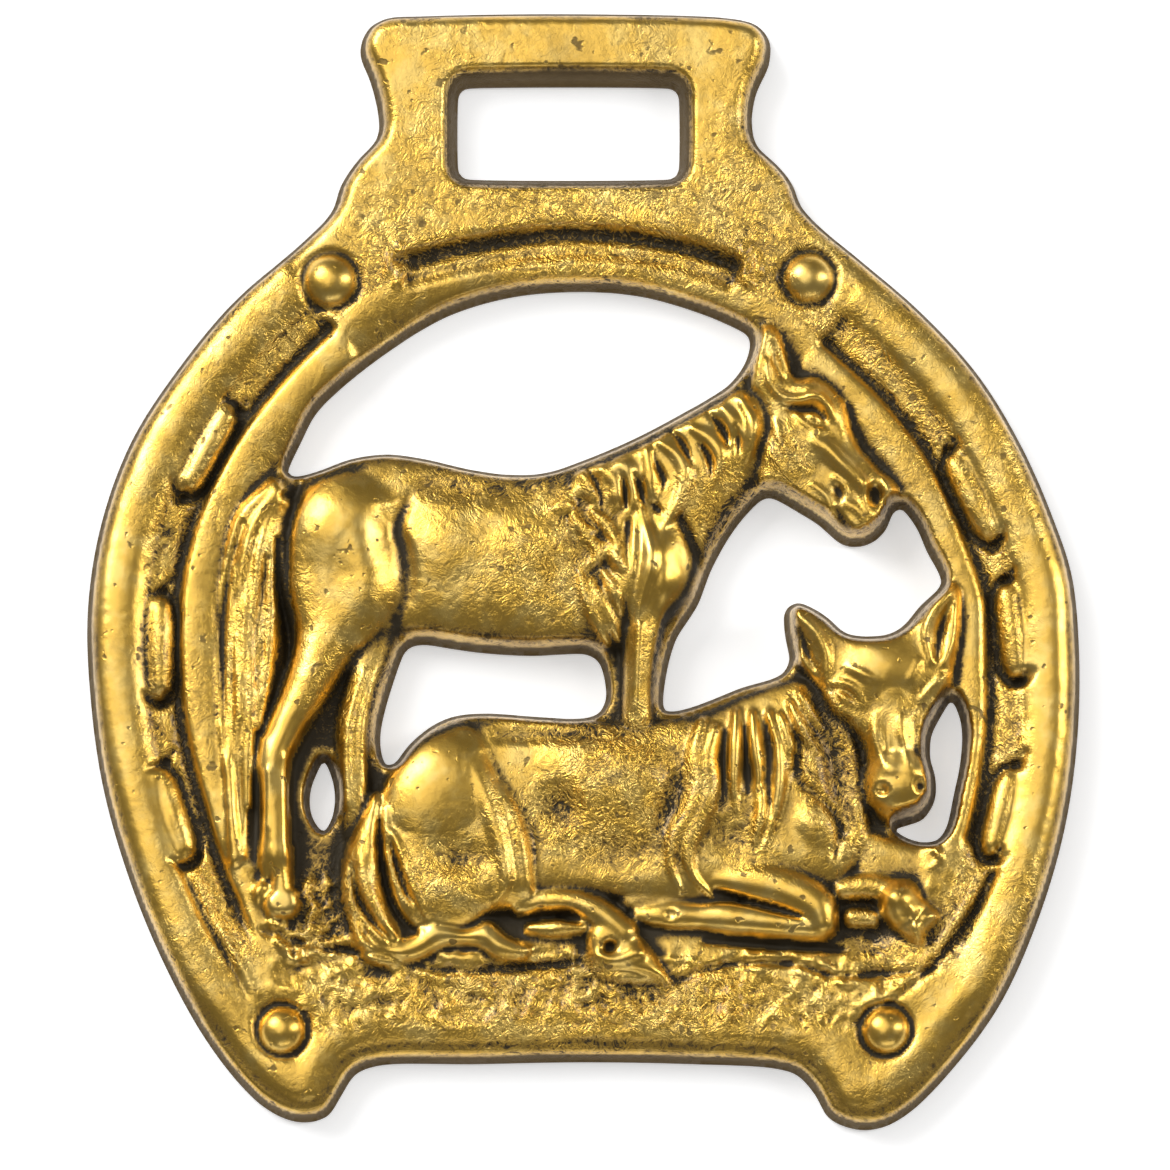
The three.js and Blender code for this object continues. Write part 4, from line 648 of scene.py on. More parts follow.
@dataclass
class Horseshoe:
    """Shoe, hanger, fullering groove with its nail bars, and studs.

    The sections are rows of distance in from the edge and height, and the arcs say on which
    bearings they run. Bars are rows of both ends, studs of x, y and radius, and `ring` is
    the depth, gap and width of the groove round a stud. The crease beside a bar is rows of
    share of the way down it, millimetres on along it and across it, half-width and height.
    Soft limits are where they start and over how far they fade in.
    """

    field_level: float = 2.6
    turf: float = 3.3
    centre_y: float = -6.2
    shoulder: Rows = ((0, 2.9), (0.5, 3.1), (1.2, 3.6), (2.0, 3.85), (2.8, 3.87), (4, 3.7), (5.5, 3.65))
    grooved: Rows = ((0, 2.9), (0.6, 3.25), (1.2, 3.75), (1.9, 4.0), (2.5, 4.05), (3.2, 4.0), (4.0, 3.8),
                     (4.4, 3.6), (4.8, 3.3), (5.4, 3.15), (6.3, 3.0), (6.75, 2.75), (7.05, 2.5),
                     (7.4, 2.85), (7.75, 3.5), (8.5, 3.62), (9.8, 3.5), (10.7, 3.2), (11.5, 2.8),
                     (12.4, 2.6))
    plain: Rows = ((0, 3.65), (7.8, 3.65), (8.6, 3.55), (9.6, 3.3), (10.8, 2.85), (12, 2.6))
    under_hanger: Rows = ((0, 3.65), (4.9, 3.65), (5.4, 3.35), (5.8, 2.6), (6.2, 2.55), (6.6, 2.95),
                          (7.1, 3.15), (7.6, 3.05), (8.0, 3.3), (8.5, 3.55), (9, 3.6), (10, 3.35))
    rim_only: Rows = ((0, 2.9), (0.6, 3.25), (1.2, 3.75), (1.9, 4.0), (2.5, 4.05), (4.2, 3.75),
                      (5.5, 3.65))
    foot: Rows = ((0, 2.9), (1.1, 3.05), (2, 3.5), (3.2, 3.65), (5, 3.45))
    left_groove: Arc = Arc(128, 219, 1.6, 8)
    right_groove: Arc = Arc(-39, 52.5, 8, 1.6)
    lid: Arc = Arc(58, 122, 10, 10)
    top: Arc = Arc(67.5, 116, 1.4, 1.4)
    outline_step: float = 0.7
    lap: float = 0.05
    lap_blend: float = 0.2
    bar_base: float = 2.8
    bar_blend: float = 0.35
    bar_sizes: Rows = ((1.3, 0.9), (1.4, 1.1), (1.2, 1.0))
    bar_crease: Rows = ((0, -1.35, -0.7, 0.345, -0.24), (0, -1.3, 0.5, 0.46, -0.48),
                        (0, 0, 1.3, 0.46, -0.56), (0.5, 0, 1.35, 0.3795, -0.44),
                        (1, 0, 1.35, 0.483, -0.6), (1, 1.35, 0.6, 0.575, -0.76),
                        (1, 1.35, -0.6, 0.46, -0.48), (1, 0.7, -1.3, 0.345, -0.24))
    stud_rise: float = 1.75
    stud_base: float = 3.0
    ring: Row = (0.32, 0.1, 0.27)
    studs: Rows = ((-20.4, 23.2, 2.2), (18.0, 23.4, 2.1), (-24.1, -36.4, 1.95), (24.0, -36.4, 1.95))
    bars: Rows = ((-28.9, 12.3, -31.6, 7.3), (-34.0, -3.1, -34.0, -9.0), (-33.7, -16.8, -32.0, -21.9),
                  (29.9, 8.4, 32.2, 3.6), (33.9, -2.0, 34.5, -7.4), (33.9, -16.8, 32.6, -21.6))
    pits: Rows = ((-27.7, 12.9), (-32.4, 5.7), (-33.7, -1.4), (-33.9, -10.5), (-33.4, -15.0),
                  (-31.4, -23.4), (29.2, 9.8), (32.8, 1.9), (33.7, -0.6), (34.8, -8.7), (34.6, -15.2),
                  (32.6, -22.8))
    pit_hollows: Sequence[tuple[Row, Row, float, float]] = (
        ((0.0, 0.0), (0.8, 0.6), 20, -0.7), ((0.5, 0.7), (0.5, 0.4), 50, -0.5))
    shoe: Rows = ((39.6, -6.2), (39.35, -1.0), (38.4, 2.4), (36.6, 7.1), (33.6, 13.2), (29.5, 18.6),
                  (24.7, 23.2), (19.5, 27.5), (10.5, 31.6), (0.0, 33.1), (-10.5, 32.0), (-20.3, 29.0),
                  (-25.7, 24.4), (-30.5, 19.4), (-34.6, 13.8), (-37.7, 7.5), (-39.5, 0.8), (-39.9, -6.2),
                  (-39.3, -13.1), (-37.7, -19.9), (-35.5, -26.7), (-32.4, -33.4), (-28.2, -39.8),
                  (-25.6, -42.4), (-22.7, -43.4), (-20.4, -42.5), (-20.4, -40.0), (-10.0, -38.8),
                  (0.0, -38.6), (10.0, -38.8), (19.0, -40.0), (20.2, -43.1), (22.2, -44.0),
                  (25.4, -43.1), (28.6, -40.3), (33.2, -34.0), (36.3, -27.2), (38.4, -20.2),
                  (39.5, -13.2))
    hanger_crease: Forms = (
        Stroke(strand(((-14, 24.4), (-7, 26.0), (0, 26.6), (6, 26.1), (12.2, 24.4)), (0.45, 0.45),
            (-0.3, -0.3))),
        Group((((-14.9, 26.0, 0.4, 0.2), (-14.5, 24.6, 0.6, 0.6), (-15.1, 22.9, 0.4, 0.4)),
            ((12.9, 25.9, 0.4, 0.2), (12.6, 24.5, 0.6, 0.6), (13.3, 22.9, 0.4, 0.4))), Profile.ROUND),
        Group((((-15.6, 25.4, 0.45, 0.3), (-15.8, 23.8, 0.45, 0.4)),
            ((13.8, 25.2, 0.45, 0.3), (14.0, 23.8, 0.45, 0.4)))))
    outline_reach: float = 13.0
    inner_from: float = 6.0
    heels: Zone = Zone(high=(-33.0, -4.0))
    sunk: Row = (11.2, 1.2)
    turf_below: Row = (-30.2, -1.2)
    turf_within: Row = (8.0, 1.0)
    heel_creases: Sequence[Rows] = (
        ((-32.2, -23.4, 0.5, -0.5), (-30.6, -27.0, 0.5, -0.45), (-28.6, -30.6, 0.45, -0.4),
         (-27.0, -33.6, 0.35, -0.2)),
        ((32.6, -24.0, 0.55, -0.6), (31.2, -26.8, 0.5, -0.6), (29.0, -29.8, 0.5, -0.5),
         (26.2, -32.8, 0.4, -0.35), (23.8, -34.6, 0.3, -0.15)))
    lip_shift: float = 0.9
    lip_share: float = 0.5

    def carve(self, relief: Relief, edge: np.ndarray) -> np.ndarray:
        """Carves the mouldings.

        Args:
            relief: The relief, still flat.
            edge: Distance in from the outer outline, hanger included.

        Returns:
            Distance in from the shoe's own outline.
        """
        d = relief.distance(spline(self.shoe, True, self.outline_step), self.outline_reach)
        shoulder, grooved = section(self.shoulder)(edge), section(self.grooved)(d)
        plain = section(self.plain)(d)
        turn = np.degrees(np.arctan2(relief.y - self.centre_y, relief.x))
        turn = np.where(turn < -90, turn + 360, turn)
        sides = np.maximum(self.left_groove.share(turn), self.right_groove.share(turn))
        lid, top = self.lid.share(turn), self.top.share(turn)
        rim = soft_max(section(self.rim_only)(d), plain - self.lap, self.lap_blend)
        shut = np.minimum(shoulder, rim)
        shut = np.where(d > self.inner_from, plain, shut)
        z = (grooved * sides + shut * (1 - sides)) * (1 - lid) + np.minimum(shoulder, plain) * lid
        z = z * (1 - top) + np.minimum(z, section(self.under_hanger)(d)) * top
        low = self.heels.share(relief)
        z = z * (1 - low) + np.minimum(z, section(self.foot)(edge)) * low
        sunk = fade(d, *self.sunk)
        z = z * (1 - sunk) + sunk * self.field_level
        ground = fade(relief.y, *self.turf_below) * fade(d, *self.turf_within)
        relief.z = z * (1 - ground) + ground * self.turf
        return d

    def finish(self, relief: Relief) -> None:
        """Adds the nail bars and pits, the creases of hanger and heels, and the studs in their rings.

        Args:
            relief: The relief with the animals and the turf on it.
        """
        for x0, y0, x1, y1 in self.bars:
            places = ((x0, y0), ((x0 + x1) / 2, (y0 + y1) / 2), (x1, y1))
            rows = [(*place, *size) for place, size in zip(places, self.bar_sizes)]
            Limb(self.bar_base, rows, self.bar_blend, Profile.DOME).carve(relief)
            self.crease_bar(relief, np.array([x0, y0]), np.array([x1, y1]))
        for x, y in self.pits:
            for (right, up), radii, turn, rise in self.pit_hollows:
                Mound((x + right, y + up), radii, turn, rise).carve(relief)
        carve_all(relief, self.hanger_crease)
        for crease in self.heel_creases:
            lip = [(x - math.copysign(self.lip_shift, x), y, width, -self.lip_share * depth)
                   for x, y, width, depth in crease]
            carve_all(relief, (Stroke(crease), Stroke(lip)))
        depth, gap, width = self.ring
        for x, y, r in self.studs:
            q = np.hypot(relief.x - x, relief.y - y)
            relief.z -= depth * np.exp(-(((q - r - gap) / width) ** 2))
            dome = self.stud_base + self.stud_rise * np.sqrt(np.clip(1 - (q / r) ** 2, 0, None))
            relief.z = np.where(q < r, np.maximum(relief.z, dome), relief.z)

    def crease_bar(self, relief: Relief, top: np.ndarray, foot: np.ndarray) -> None:
        """Cuts the crease beside a nail bar, with its small hooks round both ends.

        Args:
            relief: The relief.
            top: Upper end of the bar.
            foot: Lower end of the bar.
        """
        along = (foot - top) / np.hypot(*(foot - top))
        across = np.array([-along[1], along[0]]) * (1.0 if top[0] < 0 else -1.0)
        Stroke([(*(top + (foot - top) * share + along * on + across * off), width, height)
                for share, on, off, width, height in self.bar_crease]).carve(relief)


# ---------------------------------------------------------------- the animals
@dataclass
class Mare:
    """The standing mare. Its fields are its parts, each with its forms in carving order."""

    tail: Forms = (
        Limb(2.5, ((-24.2, 6.6, 1.2, 1.1), (-26, 4.5, 2.3, 1.2), (-26.6, 0, 3.0, 1.3),
            (-26.6, -6, 3.1, 1.3), (-27.0, -12, 2.4, 1.2), (-27.3, -18, 1.7, 1.0),
            (-27.5, -23.5, 1.0, 0.6)), 0.4, Profile.DOME),
        Group(strands((((-25.0, 6.9), (-27.3, 4.4), (-28.4, 0), (-28.8, -6), (-28.7, -12), (-28.2, -18),
            (-27.9, -23)), ((-24.7, 6.2), (-26.7, 3), (-27.4, -3), (-27.6, -10), (-27.5, -17),
            (-27.4, -22.6)), ((-24.5, 5.4), (-25.8, 2), (-26.2, -3), (-26.5, -8), (-26.8, -14),
            (-26.9, -18.5)), ((-24.2, 4.6), (-25.0, 1), (-25.0, -4), (-25.3, -8), (-26.0, -12.4)),
            ((-23.8, 5.2), (-24.1, 2), (-23.7, -1.5), (-22.9, -4.6), (-22.8, -7.6), (-23.6, -10.4))),
            (0.72, 0.5), (1.0, 0.55)), Profile.ROUND),
        Stroke(flame(((-27.4, 3.8), (-28.4, 0), (-28.9, -4), (-28.9, -9), (-28.6, -15)), 0.55, -0.825,
            0.5)),
        Stroke(flame(((-26.2, 3.0), (-27.2, -1), (-27.6, -5), (-27.4, -9.5)), 0.42, -0.45, 0.5)),
        Stroke(flame(((-25.4, 1.0), (-26.0, -3), (-26.3, -6), (-26.1, -10)), 0.55, -0.7125, 0.5)),
        Stroke(flame(((-24.6, 2.4), (-24.4, -1.5), (-23.8, -4.5), (-23.6, -7.5), (-24.2, -11)), 0.65,
            -0.9, 0.5)),
        Stroke(flame(((-27.4, -12), (-27.6, -16), (-27.4, -20), (-27.2, -23)), 0.5, -0.525, 0.5)))
    far_hind_leg: Forms = (
        Limb(2.8, ((-16.8, -5, 1.9, 1.0), (-17.7, -9, 1.4, 1.1), (-18.5, -12.6, 1.45, 1.3),
            (-18.5, -15.5, 1.25, 1.2), (-18.3, -18.6, 1.2, 1.1), (-18.2, -20.6, 1.1, 0.7))),
        Group((((-17.6, -8, 0.5, 0.25), (-18.9, -12.4, 0.5, 0.35), (-18.9, -18.6, 0.45, 0.25)),
            ((-16.9, -8, 0.4, 0.2), (-17.7, -12.6, 0.4, 0.3), (-17.6, -17, 0.4, 0.2)))))
    trunk: Forms = (
        Body(((-23.2, 5.6), (-21.5, 8.2), (-17, 9.4), (-13, 9.2), (-9, 8.2), (-5.7, 7.6), (-2, 8.5),
            (2, 10.1), (6, 11.8), (10, 13.9), (12.8, 16.0), (14.8, 13), (15.2, 8.5), (13.4, 6.4),
            (11, 3.9), (9.6, 1), (9.2, -1), (7.9, -2.5), (6.2, -4.3), (3, -6), (-1, -6.2), (-6, -6.2),
            (-11, -5.6), (-14.8, -5.0), (-18, -6), (-22, -4), (-23.2, 0)), 2.9, 1.75, 4.4, 0.35),
        Mound((-7.5, 1.4), (9.5, 6.8), 0, 0.6),
        Mound((-11.6, 2.6), (3.6, 4.6), 8, 0.35),
        Mound((-4.0, 2.0), (4.2, 3.4), 15, 0.35),
        Stroke(((-13, 6.6, 1.3, -0.25), (-8, 6.0, 1.3, -0.25), (-4.5, 6.2, 1.0, -0.15))))
    haunch: Forms = (
        Body(((-23.5, 3.4), (-22.2, 6.4), (-19.4, 7.9), (-16.4, 7.3), (-14.4, 5.4), (-15.5, 2.9),
            (-15.0, 1.2), (-15.0, -2.0), (-16.2, -4.6), (-18.6, -6.6), (-21.6, -6.4), (-23.4, -2.6)), 3.7,
            1.5, 3.4, 0.28),
        Mound((-19.6, 3.6), (4.8, 4.6), -10, 0.6),
        Mound((-17.4, -0.8), (2.8, 4.8), 3, 0.4),
        Stroke(((-14.0, 5.8, 0.8, -0.25), (-14.9, 3.4, 0.8, -0.45), (-14.4, 1.2, 1.1, -0.5),
            (-14.3, -1.6, 1.2, -0.5), (-15.0, -4.0, 0.9, -0.35))))
    near_hind_leg: Forms = (
        Limb(3.0, ((-19.6, -2.5, 3.6, 1.9), (-20.8, -6, 2.5, 2.2), (-22.4, -9.6, 1.9, 2.2),
            (-24.0, -12.8, 1.6, 2.1), (-24.8, -15, 1.5, 2.1), (-24.75, -18, 1.3, 1.95),
            (-24.7, -21, 1.35, 1.95), (-24.7, -22.6, 1.5, 1.9)), 0.35),
        Limb(3.2, ((-25.3, -13.6, 0.8, 1.4), (-25.7, -15.6, 0.7, 1.2)), 0.5))
    fetlock_and_hoof: Forms = (
        Limb(3.0, ((-24.6, -22.4, 1.5, 1.9), (-24.2, -24.2, 1.0, 1.6), (-24.1, -25.4, 1.05, 1.6)), 0.2),
        Limb(3.0, ((-25.6, -23.2, 0.6, 1.3), (-25.3, -24.1, 0.5, 1.1)), 0.2),
        Body(((-25.4, -25.6), (-24.6, -25.2), (-23.1, -25.1), (-22.6, -26.6), (-23.3, -27.6),
            (-25.2, -27.5), (-25.7, -26.6)), 3.3, 1.3, 0.9, 0.15),
        Group((((-23.9, -15, 0.45, 0.25), (-23.9, -19, 0.4, 0.3), (-23.8, -23, 0.4, 0.2)),
            ((-25.3, -16, 0.4, 0.2), (-25.4, -20.5, 0.4, 0.2)))))
    foreleg: Forms = (
        Limb(3.0, ((4.9, -1, 2.6, 1.9), (4.7, -4, 1.75, 1.9), (4.35, -8, 1.35, 1.6),
            (4.2, -11.6, 1.3, 1.2)), 0.4),
        Group((((4.4, -4.5, 0.5, 0.4), (4.1, -11, 0.5, 0.3)),)))
    shoulder: Forms = (
        Mound((3.2, 0.0), (1.8, 5.0), 0, 0.8),
        Mound((13.8, 11.8), (1.6, 3.6), 0, 0.9),
        Mound((6.5, -0.2), (2.7, 4.4), 8, 0.8),
        Mound((6.0, 1.6), (2.2, 2.8), -10, 0.35),
        Mound((6.9, -1.6), (1.8, 2.4), 10, 0.3),
        Stroke(((7.6, 4.2, 0.6, -0.5), (8.5, 2.4, 0.6, -0.6), (9.2, 0.4, 0.5, -0.6),
            (9.2, -0.6, 0.4, -0.3))),
        Stroke(((3.5, 3.8, 0.4, -0.5), (3.4, 2.2, 0.45, -0.4), (3.5, 0.6, 0.35, -0.2))),
        Stroke(((3.3, -2.4, 0.35, -0.3), (3.4, -4.4, 0.35, -0.3))),
        Mound((11.2, 8.4), (4.8, 2.8), 46, 0.35))
    mane: Forms = (
        Body(((-1.0, 7.5), (2.0, 8.9), (5.0, 10.2), (8.0, 11.9), (10.4, 13.2), (12.4, 14.3), (13.4, 13.6),
            (13.8, 11.4), (13.6, 9.4), (12.8, 8.2), (12.0, 9.0), (11.2, 8.6), (10.6, 6.6), (9.6, 6.0),
            (9.3, 7.6), (8.6, 7.2), (8.2, 5.0), (7.2, 3.8), (6.1, 2.8), (5.4, 3.6), (5.0, 5.0),
            (4.2, 4.6), (3.4, 3.2), (2.9, 4.6), (2.2, 5.0), (1.5, 4.4), (0.9, 5.4), (0.0, 5.2),
            (-0.9, 6.2)), 4.1, 0.75, 0.9, 0.25),
        Group(flames((((12.6, 13.4), (13.3, 11.8), (13.4, 10.0), (12.9, 8.6)), ((11.0, 12.9),
            (12.1, 11.4), (12.6, 9.6)), ((8.6, 11.2), (10.2, 10.2), (10.9, 8.8), (10.4, 7.0)),
            ((5.9, 10.2), (7.6, 8.8), (8.1, 7.0), (7.3, 4.8), (6.2, 3.1)), ((4.9, 9.6), (5.3, 8.2),
            (5.3, 6.8), (5.6, 5.2)), ((2.2, 8.0), (3.2, 8.1), (3.8, 6.6), (3.6, 4.2)), ((1.3, 8.0),
            (2.5, 7.0), (2.6, 5.6), (2.2, 4.6)), ((-0.2, 7.6), (0.6, 6.2), (1.0, 5.0)), ((-0.6, 6.4),
            (-1.6, 5.2), (-3.0, 4.6))), 0.85, 0.45), Profile.DOME),
        *cuts((((6.8, 11.1), (7.7, 10.2), (8.2, 9.2), (8.6, 8.2)), ((9.9, 12.5), (10.8, 11.5),
            (11.3, 10.6), (11.5, 9.6)), ((12.0, 11.4), (12.3, 10.2), (12.4, 9.0)), ((9.3, 10.0),
            (9.9, 9.0), (10.1, 8.2), (9.9, 7.0)), ((5.5, 9.2), (5.8, 8.2), (6.3, 7.2), (6.3, 6.2)),
            ((3.9, 7.6), (4.3, 6.8), (4.6, 5.8), (4.7, 5.0)), ((3.0, 7.4), (3.2, 6.4), (3.3, 5.4),
            (3.5, 4.6)), ((0.3, 7.9), (0.8, 7.0), (1.2, 6.0), (1.4, 5.0)), ((5.4, 5.4), (5.8, 4.8),
            (6.2, 4.4))), 0.38, -0.7, 0.45),
        Group(flames((((-1.0, 5.0), (-0.6, 3.6), (0.2, 3.0), (1.2, 3.0)), ((0.6, 4.6), (1.6, 3.6),
            (2.3, 2.4), (2.9, 1.0)), ((-0.2, 2.6), (0.9, 1.9), (1.1, 0.9), (0.2, 0.3)), ((1.6, 2.0),
            (2.4, 0.8), (3.1, -0.2)), ((-0.4, -0.2), (0.2, -2.4), (1.3, -4.8), (2.5, -7.2)), ((0.5, -0.9),
            (1.3, -2.6), (2.3, -4.6), (2.9, -6.0)), ((1.5, -0.2), (2.2, -1.8), (3.0, -3.6))), 0.62, 0.65),
            Profile.ROUND),
        Group((flame(((4.4, 5.2), (4.9, 2.8), (5.1, 0.6), (4.7, -1.8), (4.2, -4.0)), 0.9, 0.65),
            flame(((4.0, 4.2), (4.1, 2.4), (4.0, 0.8), (3.9, -0.8)), 0.6, 0.45)), Profile.DOME))
    head: Forms = (
        Stroke(((14.0, 10.8, 0.4, -0.2), (14.0, 9.4, 0.45, -0.4), (14.3, 8.2, 0.5, -0.5))),
        Body(((13.2, 14.4), (13.5, 17.0), (14.4, 19.7), (15.4, 19.4), (16.3, 17.2), (16.8, 15.6),
            (18.6, 15.5), (20.0, 14.6), (21.2, 12.9), (21.7, 11.1), (22.5, 9.5), (23.9, 7.9), (25.0, 7.0),
            (25.4, 5.4), (25.0, 3.4), (23.4, 1.9), (21.4, 1.6), (19.7, 2.4), (18.0, 4.1), (15.8, 5.5),
            (13.9, 6.5), (13.7, 9.2), (14.3, 11.4), (13.9, 13.0)), 3.3, 1.45, 1.5, 0.12),
        Mound((16.6, 9.6), (2.6, 2.6), 20, 0.35, Profile.DOME),
        Mound((17.9, 14.4), (2.2, 1.2), -8, 0.3))
    face: Forms = (
        Stroke(((18.7, 10.3, 1.2, 0.4), (19.5, 9.5, 1.15, 0.65), (20.9, 8.1, 1.05, 0.7),
            (22.3, 6.7, 0.9, 0.5))),
        Group((((14.6, 16.6, 0.4, 0.3), (14.8, 15.0, 0.45, 0.45), (15.9, 13.7, 0.5, 0.55),
            (17.3, 13.5, 0.55, 0.6), (18.6, 13.7, 0.6, 0.75), (19.5, 12.9, 0.55, 0.6),
            (19.8, 12.0, 0.4, 0.3)), ((16.9, 12.3, 0.3, 0.25), (17.8, 11.5, 0.35, 0.35),
            (19.2, 10.9, 0.35, 0.25)), ((15.2, 11.8, 0.4, 0.2), (15.7, 10.2, 0.5, 0.25),
            (16.8, 8.8, 0.5, 0.2), (17.8, 7.7, 0.4, 0.1)), ((15.0, 9.4, 0.35, 0.15),
            (15.6, 8.2, 0.45, 0.2), (16.6, 7.4, 0.35, 0.1)), ((19.9, 7.3, 0.3, 0.3),
            (20.8, 6.5, 0.35, 0.4), (20.8, 5.3, 0.3, 0.3)), ((18.2, 6.7, 0.35, 0.2),
            (19.4, 5.8, 0.4, 0.3), (19.9, 4.4, 0.35, 0.25)), ((21.0, 5.2, 0.5, 0.2),
            (21.9, 4.7, 0.55, 0.3), (22.5, 3.7, 0.5, 0.25)), ((22.4, 7.1, 0.35, 0.2),
            (22.3, 5.6, 0.4, 0.35), (22.8, 4.3, 0.4, 0.25)), ((23.9, 7.4, 0.5, 0.3),
            (24.4, 5.9, 0.5, 0.35), (23.8, 4.4, 0.45, 0.25)))),
        Stroke(((16.2, 12.9, 0.4, -0.25), (17.3, 12.8, 0.45, -0.5), (18.4, 12.7, 0.45, -0.45),
            (19.2, 12.0, 0.4, -0.3))),
        Stroke(((20.1, 4.7, 0.35, -0.4), (20.8, 3.6, 0.4, -0.7), (21.5, 2.9, 0.4, -0.5))),
        Stroke(((21.1, 12.8, 0.7, -0.3), (21.5, 11.0, 0.7, -0.3), (22.3, 9.4, 0.6, -0.2))),
        Mound((23.3, 5.9), (0.85, 1.35), 12, -0.85),
        Mound((20.4, 6.1), (0.65, 1.1), 20, -0.45),
        Mound((18.3, 12.1), (0.7, 0.45), -30, 0.35, Profile.DOME))
    ear: Forms = (
        Group((((13.6, 14.6, 0.5, 0.25), (13.9, 16.6, 0.6, 0.5), (14.5, 18.9, 0.45, 0.45)),
            ((15.2, 18.6, 0.3, 0.3), (15.8, 17.0, 0.35, 0.35), (16.4, 15.4, 0.35, 0.3)))),
        Stroke(((15.1, 18.0, 0.35, -0.35), (15.3, 16.6, 0.5, -0.5), (15.8, 15.4, 0.45, -0.4))))

    def carve(self, relief: Relief) -> None:
        """Carves the whole mare, far side first.

        Args:
            relief: The relief with the shoe on it.
        """
        carve_all(relief, self.tail, self.far_hind_leg, self.trunk, self.haunch, self.near_hind_leg,
                  self.fetlock_and_hoof, self.foreleg, self.shoulder, self.mane, self.head, self.face,
                  self.ear)


